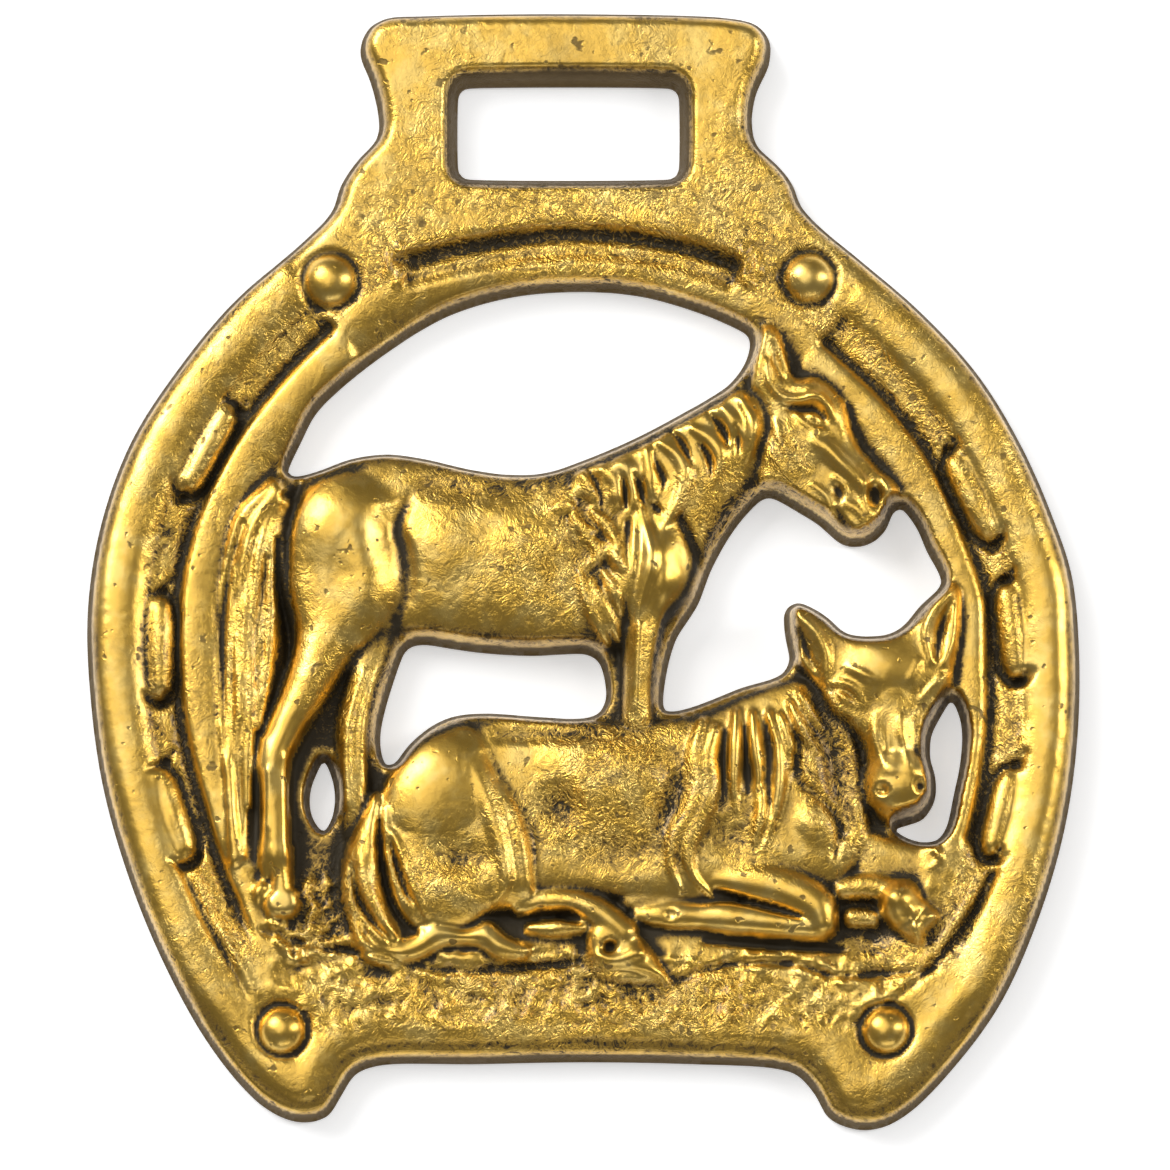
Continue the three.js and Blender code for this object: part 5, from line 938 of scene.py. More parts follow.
@dataclass
class Foal:
    """The lying foal, with its head turned to the front. Its fields are its parts too."""

    barrel: Forms = (
        Body(((-15.6, -17), (-13.4, -14), (-10.5, -12.0), (-8, -11.3), (-4, -11.5), (0, -11.8), (4, -12),
            (9, -11.3), (12.6, -9.9), (15.8, -8.8), (17.5, -8.6), (19.4, -10), (21.4, -12.5), (22.4, -16),
            (22.8, -20), (21.9, -23.0), (20, -25), (14, -25.6), (8, -26.6), (2, -26), (-3, -26.4),
            (-8, -27.5), (-13, -29), (-16, -28), (-17.2, -24), (-17.0, -20)), 2.9, 1.35, 3.6, 0.3),
        Mound((1.6, -16.6), (7.0, 4.4), -24, 0.9),
        Mound((4.2, -15.4), (3.6, 2.6), -30, 0.4),
        Mound((-2.0, -18.6), (2.6, 2.4), 20, -0.45),
        Stroke(((-6.6, -13.2, 1.0, -0.3), (-3, -13.2, 0.9, -0.35), (1, -13.2, 0.8, -0.25))),
        Mound((2.0, -22.6), (5.0, 2.4), -5, -0.35))
    haunch: Forms = (
        Body(((-16.4, -17.8), (-14.9, -15.0), (-12.5, -12.9), (-9.6, -12.1), (-8.0, -12.9), (-7.0, -15.0),
            (-5.8, -17.0), (-4.5, -19.2), (-3.6, -21.5), (-3.5, -24), (-3.8, -25.9), (-5.4, -26.8),
            (-7.4, -27.2), (-9.4, -28.4), (-13, -28.4), (-15.6, -25), (-16.8, -21)), 3.3, 1.9, 3.6, 0.12),
        Mound((-12.2, -17.0), (4.6, 4.4), -30, 0.6, Profile.DOME),
        Group((((-8.4, -14.6, 1.2, 0.2), (-7.3, -19.4, 1.3, 0.55), (-6.5, -22.6, 1.0, 0.5),
            (-6.3, -25, 0.7, 0.4), (-7.1, -26.4, 0.6, 0.3)), ((-6.6, -17.4, 0.8, 0.2),
            (-5.5, -20, 0.9, 0.5), (-4.8, -23, 0.8, 0.4), (-4.4, -25.6, 0.6, 0.2)))),
        Mound((-9.8, -22.8), (3.4, 1.9), -8, -0.5),
        Mound((-10.6, -25.6), (3.4, 1.6), -14, 0.2))
    tail: Forms = (
        Body(((-18.6, -27), (-16.5, -29), (-13.6, -28.6), (-12.4, -27.2), (-9.6, -28.2), (-7.6, -27.6),
            (-6.2, -28.8), (-4.0, -30.0), (-4.8, -31.1), (-7.2, -30.9), (-8.6, -30.0), (-11.0, -30.0),
            (-13.0, -31.0), (-15.4, -31.7), (-17.8, -30.9)), 3.2, 1.4, 1.5, 0.2),
        Limb(3.0, ((-12.4, -31.2, 0.4, 0.5), (-10, -30.7, 0.5, 0.8), (-7.8, -30.5, 0.4, 0.6)), 0.15),
        Limb(3.2, ((-16.6, -18.0, 0.6, 1.2), (-17.4, -22, 1.7, 1.6), (-17.3, -26, 2.0, 1.7),
            (-16, -29, 1.9, 1.6)), 0.3, Profile.DOME),
        Group(flames((((-16.7, -18.6), (-18.3, -21.6), (-19.0, -25), (-18.8, -28), (-17.2, -30.4),
            (-14.6, -31.2)), ((-17.0, -19.6), (-17.9, -22), (-17.3, -24.8), (-16.2, -27.4),
            (-14.9, -29.4)), ((-16.7, -18.4), (-16.9, -21), (-16.6, -24), (-15.9, -26.4)),
            ((-16.0, -19.0), (-15.8, -22.4), (-15.2, -25), (-14.0, -27.2), (-12.9, -28.8)),
            ((-15.4, -21.0), (-14.6, -23.4), (-13.7, -25.6), (-12.6, -27.4))), 0.85, 0.55, 0.5),
            Profile.ROUND),
        *cuts((((-18.5, -23.4), (-18.2, -25.6), (-17.3, -27.3), (-16.2, -28.7), (-15.2, -29.7)),
            ((-16.4, -20.0), (-16.3, -22.6), (-15.8, -25.2), (-14.8, -27.4), (-13.4, -29.0)),
            ((-15.5, -21.6), (-14.9, -23.6), (-14.2, -25.6), (-13.3, -26.9))), 0.45, -1.0, 0.4))
    hind_feet: Forms = (
        Limb(3.1, ((-5.2, -26.4, 1.0, 1.0), (-3.0, -26.2, 1.1, 1.2), (-0.8, -26.3, 1.1, 1.5),
            (1.2, -27.2, 1.3, 1.8), (3.2, -28.8, 1.3, 1.9)), 0.2),
        Limb(3.1, ((-4.4, -28.4, 0.5, 0.8), (-2.4, -28.4, 0.9, 1.3), (-0.4, -28.2, 0.8, 1.4)), 0.2),
        Body(((0.1, -28.6), (0.2, -30.6), (0.8, -32.2), (2.6, -32.8), (5, -32.8), (7.0, -33.0),
            (6.3, -31.4), (5.0, -29.5), (3.5, -28.0), (1.6, -27.0)), 3.3, 1.5, 1.5, 0.15),
        Mound((2.0, -29.9), (0.8, 0.65), 20, -1.1),
        Stroke(((0.9, -30.6, 0.5, 0.3), (2.4, -31.0, 0.5, 0.3), (4.4, -30.4, 0.8, 0.4))),
        Stroke(((1.0, -31.9, 0.4, -0.3), (3.6, -31.9, 0.4, -0.4), (6.4, -32.6, 0.4, -0.3))),
        Stroke(((-3.0, -27.2, 0.5, -0.5), (-1.4, -27.4, 0.7, -0.9), (-0.3, -28.0, 0.5, -0.4))),
        Stroke(((-4.0, -27.4, 0.5, -0.4), (-3.4, -27.0, 0.5, -0.4))))
    neck: Forms = (
        Stroke(((18.2, -11.2, 1.4, -0.5), (19.8, -14.2, 1.7, -0.8), (20.3, -17.4, 1.5, -0.7),
            (20.8, -20.6, 1.2, -0.5))),
        Mound((11.6, -21.4), (2.4, 2.2), 0, -0.35),
        Group((*flames((((9.4, -12.0), (8.9, -14.6), (9.1, -17.2), (8.4, -19.4), (7.1, -21.4),
            (6.9, -23.6), (7.7, -25.6)), ((10.4, -12.6), (9.8, -15.2), (10.0, -17.4), (9.1, -19.8),
            (8.3, -22), (8.6, -24.2), (10.2, -25.9))), 1.15, 0.8, 0.35), *flames((((12.1, -11.2),
            (12.0, -14.2), (11.9, -17.0), (12.1, -19.2)), ((13.4, -11.4), (13.6, -14), (13.9, -16.4),
            (13.6, -18.8)), ((14.7, -11.4), (15.5, -14.6), (15.5, -17.4), (15.0, -20), (14.2, -22.4)),
            ((14.2, -17.4), (14.0, -19.8), (13.5, -21.8)), ((15.6, -11.6), (16.3, -13.6), (16.4, -15.9)),
            ((16.4, -10.6), (17.3, -12.4), (18.6, -14.6)), ((17.2, -9.8), (18.0, -11.2), (19.1, -12.8))),
            0.72, 0.8, 0.35)), Profile.DOME),
        *cuts((((11.2, -12.8), (11.1, -15.0), (11.0, -17.0), (10.6, -19.4)), ((12.8, -12.4),
            (12.9, -14.6), (13.0, -16.8), (12.9, -18.2)), ((14.4, -12.0), (14.9, -14.0), (15.0, -16.2)),
            ((16.2, -12.4), (17.0, -13.6), (17.2, -15.2))), 0.34, -0.45, 0.5),
        Mound((18.2, -20.2), (1.8, 2.4), 25, 0.45),
        Stroke(((16.9, -14.8, 0.55, -0.5), (17.2, -16.8, 0.55, -0.4), (18.9, -18.2, 0.5, -0.4),
            (20.4, -20.5, 0.5, -0.5), (20.0, -22.6, 0.5, -0.4))),
        Stroke(((7.2, -16.8, 0.9, -0.25), (6.6, -18.6, 1.0, -0.4), (5.8, -20.4, 0.8, -0.2))))
    near_foreleg: Forms = (
        Limb(3.1, ((3.6, -26.2, 0.8, 0.5), (6.0, -26.1, 0.7, 0.6), (8.4, -26.6, 0.6, 0.5)), 0.3),
        Limb(3.1, ((4.4, -27.3, 0.8, 0.7), (7, -27.3, 1.2, 1.1), (9.2, -27.4, 1.15, 1.1),
            (11.5, -27.5, 1.4, 1.4), (15, -27.9, 1.3, 1.5), (18.8, -28.3, 1.2, 1.6)), 0.2),
        Mound((6.8, -27.3), (0.7, 0.6), 0, -0.4),
        Limb(3.2, ((10.8, -24.4, 1.0, 1.0), (14.2, -24.8, 1.75, 1.6), (16.8, -25.6, 1.8, 1.9),
            (18.6, -26.8, 1.65, 2.0), (19.0, -28.0, 1.3, 1.9)), 0.2),
        Stroke(((10.4, -25.5, 0.35, -0.4), (14.2, -26.6, 0.4, -0.6), (17.2, -27.5, 0.35, -0.4))),
        Body(((22.4, -20.6), (24.6, -21.2), (27.4, -21.8), (30.4, -21.2), (31.4, -23.6), (31.0, -27.6),
            (29.6, -29.6), (27.4, -29.4), (25.0, -26.4), (22.4, -25.0), (21.4, -23.6)), 2.9, 0.6, 1.4,
            0.3))
    far_foreleg: Forms = (
        Limb(3.0, ((20.6, -25.3, 0.9, 1.0), (22.4, -25.0, 1.1, 1.1), (24.2, -25.3, 1.1, 1.2)), 0.35),
        Limb(2.9, ((21.4, -27.5, 0.9, 1.0), (22.9, -27.6, 0.8, 0.9)), 0.3),
        Body(((23.3, -25.6), (24.6, -24.4), (26.3, -24.6), (27.2, -26.0), (28.5, -27.5), (27.6, -28.6),
            (26.6, -29.9), (25.0, -28.8), (23.6, -27.5)), 3.0, 1.9, 1.6, 0.25),
        Mound((24.9, -26.2), (1.8, 1.6), 0, 0.5),
        Stroke(((25.0, -28.3, 0.4, -0.3), (26.2, -27.9, 0.4, -0.35), (27.2, -26.9, 0.4, -0.3))),
        Stroke(((25.9, -26.9, 0.6, 0.25), (26.6, -29.3, 0.5, 0.2))))
    head: Forms = (
        Body(((15.8, -3.1), (15.9, -4.8), (16.8, -6.9), (18.1, -8.7), (18.9, -9.8), (19.6, -11.2),
            (21.0, -12.3), (21.9, -13.4), (22.4, -15.2), (22.2, -17.0), (22.6, -18.6), (23.7, -19.7),
            (25.4, -20.3), (27.8, -20.2), (29.3, -18.6), (29.4, -16.8), (28.7, -15.0), (28.5, -13.2),
            (28.9, -11.4), (29.3, -9.6), (29.6, -7.8), (30.1, -4.6), (29.9, -1.2), (28.2, -0.9),
            (26.4, -3.2), (24.8, -4.7), (22, -4.9), (20.2, -4.0), (18.2, -2.3), (17.0, -2.2)), 3.4, 1.45,
            1.5, 0.12),
        Mound((23.8, -8.0), (4.6, 3.6), 0, 0.7),
        Mound((24.8, -13.0), (2.3, 3.6), 0, 0.45, Profile.DOME),
        Mound((25.3, -17.0), (3.0, 2.6), 0, 0.9, Profile.DOME),
        Mound((23.75, -17.6), (1.15, 1.05), -15, 0.3),
        Mound((26.8, -17.3), (1.05, 1.1), 15, 0.3),
        Mound((24.1, -16.0), (1.1, 0.9), 0, 0.2),
        Mound((26.1, -16.0), (1.0, 0.9), 0, 0.2),
        Group((((21.0, -7.8, 0.5, 0.15), (22.3, -8.5, 0.55, 0.3), (23.3, -9.0, 0.4, 0.1)),
            ((26.7, -7.4, 0.45, 0.2), (26.0, -8.8, 0.45, 0.15)), ((23.2, -11.8, 0.45, 0.15),
            (23.1, -13.4, 0.45, 0.3), (23.7, -15.4, 0.45, 0.2)), ((25.2, -11.8, 0.45, 0.2),
            (25.4, -13.6, 0.45, 0.3), (25.9, -15.4, 0.4, 0.2)), ((19.4, -9.2, 0.35, 0.25),
            (20.6, -9.1, 0.4, 0.35), (21.7, -9.7, 0.4, 0.3), (22.3, -10.9, 0.4, 0.2)),
            ((19.3, -9.8, 0.35, 0.2), (20.3, -11.1, 0.4, 0.35), (21.7, -11.8, 0.4, 0.2)),
            ((26.8, -10.4, 0.35, 0.25), (27.7, -9.3, 0.4, 0.35), (28.8, -8.5, 0.35, 0.25)))),
        Mound((20.8, -10.3), (1.2, 0.5), -38, 0.4, Profile.DOME),
        Stroke(((19.6, -9.5, 0.3, -0.2), (20.6, -9.7, 0.3, -0.3), (21.7, -10.6, 0.3, -0.2))),
        Stroke(((26.9, -9.7, 0.35, -0.25), (27.8, -8.8, 0.3, -0.2))),
        Stroke(((24.1, -11.9, 0.5, -0.15), (24.2, -14.4, 0.4, -0.25))),
        Stroke(((26.3, -12.0, 0.35, -0.2), (26.6, -14.6, 0.4, -0.25))),
        Stroke(((23.0, -18.9, 0.35, -0.15), (25.3, -19.4, 0.35, -0.25), (27.4, -18.8, 0.35, -0.15))),
        Mound((23.75, -17.6), (0.78, 0.68), -15, -1.0),
        Mound((26.75, -17.3), (0.68, 0.78), 15, -1.0),
        Group((((16.9, -3.6, 0.5, 0.3), (18.5, -5.1, 0.75, 0.6), (19.3, -6.9, 0.75, 0.55),
            (19.3, -8.5, 0.5, 0.3)), ((16.6, -4.4, 0.4, 0.3), (17.0, -6.4, 0.4, 0.35),
            (18.2, -8.3, 0.4, 0.25)), ((29.2, -1.9, 0.4, 0.3), (27.8, -3.5, 0.55, 0.55),
            (27.2, -5.4, 0.5, 0.45), (27.7, -7.4, 0.4, 0.3)), ((29.6, -3.0, 0.35, 0.3),
            (29.5, -5.5, 0.35, 0.35), (28.7, -7.5, 0.35, 0.3)))),
        Stroke(((17.1, -4.6, 0.3, -0.35), (17.6, -6.2, 0.5, -0.65), (18.4, -8.0, 0.35, -0.4))),
        Stroke(((29.2, -2.8, 0.35, -0.35), (28.5, -4.8, 0.6, -0.75), (28.2, -7.0, 0.4, -0.45))))

    def carve(self, relief: Relief) -> None:
        """Carves the foal, back to front.

        Args:
            relief: The relief with the mare on it.
        """
        carve_all(relief, self.barrel, self.haunch, self.tail, self.hind_feet, self.neck,
                  self.near_foreleg, self.far_foreleg, self.head)


@dataclass
class Ground:
    """Rough turf under the animals, and the slightly uneven skin of the casting.

    Patches are rows of x, y, two radii, turn and how much coarser the skin is there, and
    `groove` rows of distance in from the shoe's outline and how cast the skin still is.
    Noises are size, seed and stretch. Soft limits are where they start and over how far
    they fade in.
    """

    turf_depth: float = 0.5
    skin_depth: float = 0.05
    covered_by: float = 0.5
    field_from: Row = (8.4, 0.8)
    lump: Row = (1.6, 4)
    small_lump: Row = (0.9, 9)
    blade: Row = (0.9, 17, 2.4)
    swell: Row = (3.1, 31)
    ripple: Row = (1.3, 32)
    pitting: Row = (0.9, 33)
    mottle: Row = (5.0, 41)
    usual_grain: float = 0.34
    mottle_grain: float = 0.2
    groove_grain: float = 0.55
    groove_low: Row = (-32.0, 2.0)
    least_grain: float = 0.05
    worn_bar: Row = (1.7, 0.5)
    worn_stud: float = 1.2
    strip: Zone = Zone((-27.0, 4.0), (27.0, -4.0), (-37.0, 1.6), (-29.2, -1.2))
    tufts: Zone = Zone(right=(-13.0, -3.0), low=(-32.5, 1.5), high=(-23.0, -2.0))
    rocks: Zone = Zone(left=(26.5, 1.5), low=(-31.0, 2.0), high=(-21.5, -1.0))
    tuft_rise: float = 0.45
    edges: Forms = (
        Stroke(((-25.5, -28.6, 0.6, -0.3), (-22.0, -29.6, 0.55, -0.55), (-17.5, -30.3, 0.5, -0.6),
            (-12.0, -31.6, 0.45, -0.3), (-6.0, -31.5, 0.5, -0.5), (-0.6, -31.0, 0.5, -0.5))),
        Stroke(((7.4, -32.6, 0.5, -0.4), (9.6, -31.6, 0.5, -0.5), (13.4, -31.1, 0.5, -0.5),
            (17.0, -31.2, 0.5, -0.55), (20.0, -32.1, 0.5, -0.5), (24.0, -31.9, 0.45, -0.5),
            (28.0, -31.6, 0.4, -0.3))),
        Stroke(((9.6, -29.3, 0.4, -0.4), (14.6, -29.7, 0.5, -0.7), (20.6, -30.0, 0.4, -0.4))))
    groove: Rows = ((4.3, 0), (4.8, 1), (7.0, 1), (7.6, 0))
    worn_reach: float = 1.2
    patches: Rows = ((0, -34, 30, 5.0, 0, 0.9), (-21, -27, 7, 5, 0, 0.7), (4, -18, 10, 9, 0, 0.9),
                     (20, -16, 5, 9, 20, 1.0), (10, 5, 6, 5, 45, 0.8), (-1, 1, 6, 9, 0, 0.7),
                     (3, 25, 22, 4, 0, 0.6), (15, 28, 9, 9, 0, 0.5), (25, -28, 7, 6, 0, 0.6),
                     (-11, -24, 6, 4, 0, 0.5), (16, 9, 4, 4, 0, 0.4), (-16, 27, 7, 6, 0, 0.4),
                     (-8, 7, 9, 2.6, 0, 0.5), (13, -21, 4, 5, 0, 0.5), (0, -12.6, 10, 2, 0, 0.4),
                     (0, -20, 7, 4.5, 0, 0.45), (-6, -0.5, 8, 5, 0, 0.4), (0, 30, 15, 3.4, 0, 0.5),
                     (-13, 35, 5, 6, 0, 0.3), (13, 35, 5, 6, 0, 0.3),
                     (-18, 3, 7, 6, 0, -0.4), (-12, -17, 6, 5, 0, -0.35), (24, -8, 5, 4, 0, -0.5),
                     (24, -16, 4, 6, 0, -0.4), (-38, -6, 4, 34, 0, -0.35), (38, -6, 4, 34, 0, -0.35),
                     (-26.6, -6, 5, 18, 0, 0.2), (16.4, 9, 2.4, 3.2, 0, 0.6), (-19.5, -12, 4, 10, 0, 0.3),
                     (3.6, -30.2, 5.0, 3.0, -30, -1.4), (13, -26.6, 9.5, 2.8, -8, -1.2),
                     (25.6, -27, 3.4, 3.4, 0, -1.2), (-10, -29.4, 9, 2.4, 0, -0.9),
                     (6.5, 0, 3, 5, 0, -0.7), (10, 11, 6, 3, 32, -0.8),
                     (-24.4, -26.6, 2.4, 2.2, 0, -1.0), (25.2, -17, 3.6, 3.2, 0, -0.4),
                     (13, -14, 4, 5, 0, -0.5),
                     (6, 0, 3, 5, 0, -0.3), (-24, -16, 3, 12, 0, -0.3), (20, 9, 4, 3, -40, -0.3))

    def carve(self, relief: Relief, shoe: np.ndarray, before: np.ndarray) -> None:
        """Roughens the ground where the animals have not covered it.

        Args:
            relief: The relief with both animals on it.
            shoe: Distance in from the shoe's outline.
            before: The heights before the animals were carved.
        """
        clear = ease(1.0 - (relief.z - before) / self.covered_by)
        field_only = fade(shoe, *self.field_from)
        strip = self.strip.share(relief)
        lumps = relief.crackle(*self.lump) - 0.45 + 0.7 * (relief.crackle(*self.small_lump) - 0.5)
        blades = relief.crackle(*self.blade) - 0.5
        deep = np.maximum(self.tufts.share(relief), self.rocks.share(relief)) * field_only
        relief.z += clear * deep * self.tuft_rise
        rough = lumps * np.maximum(strip * 0.6, deep * 0.8) + blades * deep
        relief.z += clear * self.turf_depth * rough
        carve_all(relief, self.edges)

    def skin(self, relief: Relief, grain: np.ndarray) -> None:
        """Adds the low swells and fine pitting that a worn sand casting has.

        Args:
            relief: The finished relief.
            grain: How coarse the skin is.
        """
        swell = relief.noise(*self.swell) + relief.noise(*self.ripple) * 0.55
        swell = swell + (relief.crackle(*self.pitting) - 0.5) * 0.9
        relief.z += self.skin_depth * swell * (0.3 + 1.1 * grain)

    def grain(self, relief: Relief, shoe: np.ndarray) -> np.ndarray:
        """How coarse the skin is at each point, from 0 (handled smooth) to 1 (as cast).

        Args:
            relief: The grid.
            shoe: Distance in from the shoe's outline.

        Returns:
            A middle value with soft patches added and taken away.
        """
        total = self.usual_grain + self.mottle_grain * relief.noise(*self.mottle)
        total += self.groove_grain * section(self.groove)(shoe) * fade(relief.y, *self.groove_low)
        everywhere = (slice(None), slice(None))
        for x, y, rx, ry, turn, gain in self.patches:
            total += gain * Profile.SOFT.at(relief.turned(everywhere, (x, y), (rx, ry), turn))
        for x0, y0, x1, y1 in Horseshoe.bars:
            ends = [(x0, y0, *self.worn_bar), (x1, y1, *self.worn_bar)]
            win, worn = relief.path(ends, Profile.DOME)
            total[win] -= worn
        for x, y, r in Horseshoe.studs:
            out = np.hypot(relief.x - x, relief.y - y) / (r * self.worn_reach)
            total -= self.worn_stud * Profile.DOME.at(out)
        return np.clip(total, self.least_grain, 1.0)


# ---------------------------------------------------------------- shader maths
Value = Union["Signal", float]
Colour = tuple[float, float, float]


class Signal:
    """A shader socket that adds Math nodes when it is used in an expression."""

    def __init__(self, nodes: "Nodes", socket: bpy.types.NodeSocket) -> None:
        """Wraps a socket.

        Args:
            nodes: The material's nodes.
            socket: The output that carries the value.
        """
        self.nodes = nodes
        self.socket = socket

    def _math(self, operation: str, a: Value, b: Value) -> "Signal":
        """One Math node on two values."""
        return self.nodes.add("ShaderNodeMath", {"operation": operation}, {0: a, 1: b})[0]

    def __add__(self, other: Value) -> "Signal":
        """Sum."""
        return self._math("ADD", self, other)

    def __radd__(self, other: Value) -> "Signal":
        """Sum, the other way round."""
        return self._math("ADD", other, self)

    def __sub__(self, other: Value) -> "Signal":
        """Difference."""
        return self._math("SUBTRACT", self, other)

    def __rsub__(self, other: Value) -> "Signal":
        """Difference, the other way round."""
        return self._math("SUBTRACT", other, self)

    def __mul__(self, other: Value) -> "Signal":
        """Product."""
        return self._math("MULTIPLY", self, other)

    def __rmul__(self, other: Value) -> "Signal":
        """Product, the other way round."""
        return self._math("MULTIPLY", other, self)

    def __or__(self, other: Value) -> "Signal":
        """The larger of two values."""
        return self._math("MAXIMUM", self, other)

    def ramp(self, low: float, high: float) -> "Signal":
        """Eases from 0 at `low` to 1 at `high`.

        Args:
            low: Value that gives 0.
            high: Value that gives 1.

        Returns:
            The eased value.
        """
        settings = {"interpolation_type": "SMOOTHSTEP"}
        return self.nodes.add("ShaderNodeMapRange", settings, {0: self, 1: low, 2: high})[0]


class Nodes:
    """Adds nodes to one material."""

    def __init__(self, material: bpy.types.Material) -> None:
        """Clears the material's tree.

        Args:
            material: The material to build in.
        """
        material.use_nodes = True
        self.tree = material.node_tree
        self.tree.nodes.clear()

    def add(self, kind: str, settings: dict[str, Any], inputs: dict[Any, Any]) -> list[Signal]:
        """Adds a node.

        Args:
            kind: The node's type.
            settings: Properties set before the sockets, such as an operation.
            inputs: Values or signals by socket name or index.

        Returns:
            Its outputs in order.
        """
        node = self.tree.nodes.new(kind)
        for name, value in settings.items():
            setattr(node, name, value)
        for key, value in inputs.items():
            if isinstance(value, Signal):
                self.tree.links.new(value.socket, node.inputs[key])
            else:
                node.inputs[key].default_value = value
        return [Signal(self, out) for out in node.outputs]

    def attribute(self, name: str) -> Signal:
        """The named value on the piece's own vertices."""
        return self.add("ShaderNodeAttribute", {"attribute_name": name}, {})[2]

    def noise(self, scale: float, detail: float, roughness: float = 0.55) -> Signal:
        """Noise on Object coordinates.

        Args:
            scale: Lumps to a metre.
            detail: Octaves.
            roughness: How much the small octaves count.

        Returns:
            The noise, about 0.5 in the middle.
        """
        place = self.add("ShaderNodeTexCoord", {}, {})[3]
        sockets = {"Vector": place, "Scale": scale, "Detail": detail, "Roughness": roughness}
        return self.add("ShaderNodeTexNoise", {}, sockets)[0]

    def ridges(self, scale: float, twist: float) -> Signal:
        """Squiggling lines that stand up to 1: noise on Object coordinates, folded at its middle.

        Args:
            scale: Lumps to a metre.
            twist: How much the lines wander.

        Returns:
            1 - |noise - 0.5| x 5, held above 0.
        """
        place = self.add("ShaderNodeTexCoord", {}, {})[3]
        sockets = {"Vector": place, "Scale": scale, "Detail": 2.0, "Roughness": 0.5, "Distortion": twist}
        noise = self.add("ShaderNodeTexNoise", {}, sockets)[0]
        fold = self.add("ShaderNodeMath", {"operation": "ABSOLUTE"}, {0: noise - 0.5})[0]
        return (1.0 - fold * 5.0) | 0.0

    def mix(self, factor: Signal, a: Any, b: Any) -> Signal:
        """Blends two colours.

        Args:
            factor: 0 gives a and 1 gives b.
            a: A colour or a signal.
            b: A colour or a signal.

        Returns:
            The blended colour.
        """
        ends = [(*c, 1.0) if isinstance(c, tuple) else c for c in (a, b)]
        return self.add("ShaderNodeMix", {"data_type": "RGBA"}, {0: factor, 6: ends[0], 7: ends[1]})[2]


@dataclass(frozen=True)
class OldBrass:
    """Handled brass: bright on the high places, brown to black in the hollows and on the edges.

    Noises are rows of scale per metre, detail and roughness, ridges of scale and twist.
    """

    polished: Colour = (0.87, 0.53, 0.082)
    pale: Colour = (0.94, 0.64, 0.16)
    toned: Colour = (0.44, 0.265, 0.045)
    patina: Colour = (0.034, 0.024, 0.009)
    edge: Colour = (0.125, 0.080, 0.026)
    broad: Row = (120, 4)
    fine: Row = (1500, 5, 0.65)
    squiggles: Row = (700, 2.4)
    small_squiggles: Row = (2000, 1.6)
    pits: Row = (1000, 1.5)
    clouds: Row = (420, 3)
    grain_depth: float = 0.00009
    coat: float = 0.55
    coat_roughness: float = 0.26

    def make(self) -> bpy.types.Material:
        """Builds the material.

        Returns:
            Polished metal, toned in broad patches, with patina where the `hollow` attribute
            is high and on the drafted edges, where `wall` is high.
        """
        material = bpy.data.materials.new("old_brass")
        nodes = Nodes(material)
        hollow, wall, coarse = (nodes.attribute(name) for name in ("hollow", "wall", "grain"))
        broad, fine = nodes.noise(*self.broad), nodes.noise(*self.fine)
        squiggle, small = nodes.ridges(*self.squiggles), nodes.ridges(*self.small_squiggles)
        # dirt and tone gather in hollows, in patches, and in the pits of coarse skin
        pitted = (1.0 - squiggle) * 0.6 + (1.0 - small) * 0.4
        dirt = (hollow * 1.05 + (fine - 0.5) * 0.5 + (broad - 0.5) * 0.35
                + coarse * (pitted - 0.42) * 1.3).ramp(0.36, 0.9)
        tone = (hollow * 1.3 + (broad - 0.47) * 1.7 + (fine - 0.5) * 0.5
                + coarse * (pitted - 0.2) * 1.1).ramp(0.0, 1.05)
        pits = nodes.noise(*self.pits).ramp(0.66, 0.74)
        dirt = dirt | pits * 0.7
        light = nodes.noise(*self.clouds).ramp(0.42, 0.68)
        metal = nodes.mix(tone, nodes.mix(light, self.polished, self.pale), self.toned)
        colour = nodes.mix(dirt, metal, self.patina)
        flank = (wall + (fine - 0.5) * 0.25).ramp(0.3, 0.8)
        colour = nodes.mix(flank, colour, self.edge)
        # dirty and cast places are duller, and the coarse skin stands up in ridges
        rough = 0.30 + tone * 0.1 + (fine - 0.5) * 0.12 + dirt * 0.25 + flank * 0.2
        metallic = 1.0 - dirt * 0.6 - flank * 0.12
        relief = squiggle * coarse * coarse + small * coarse * 0.3 + fine * 0.2 - pits * 0.5
        bump = nodes.add("ShaderNodeBump", {}, {
            "Strength": 1.0, "Distance": self.grain_depth, "Height": relief})[0]
        shader = nodes.add("ShaderNodeBsdfPrincipled", {}, {
            "Base Color": colour, "Roughness": rough, "Metallic": metallic, "Normal": bump,
            "Coat Weight": (1.0 - flank | 0.0) * (1.0 - dirt) * self.coat,
            "Coat Roughness": self.coat_roughness})[0]
        nodes.add("ShaderNodeOutputMaterial", {}, {0: shader})
        return material


@dataclass(frozen=True)
class PaleFloor:
    """Plain white studio floor, lit a little from below as a light table is."""

    colour: Colour = (0.93, 0.93, 0.93)
    glow: float = 0.45
    roughness: float = 0.9
    specular: float = 0.1

    def make(self) -> bpy.types.Material:
        """Builds the material.

        Returns:
            A matt and even one.
        """
        material = bpy.data.materials.new("pale_floor")
        nodes = Nodes(material)
        shader = nodes.add("ShaderNodeBsdfPrincipled", {}, {
            "Base Color": (*self.colour, 1.0), "Roughness": self.roughness,
            "Specular IOR Level": self.specular,
            "Emission Color": (1.0, 1.0, 1.0, 1.0), "Emission Strength": self.glow})[0]
        nodes.add("ShaderNodeOutputMaterial", {}, {0: shader})
        return material


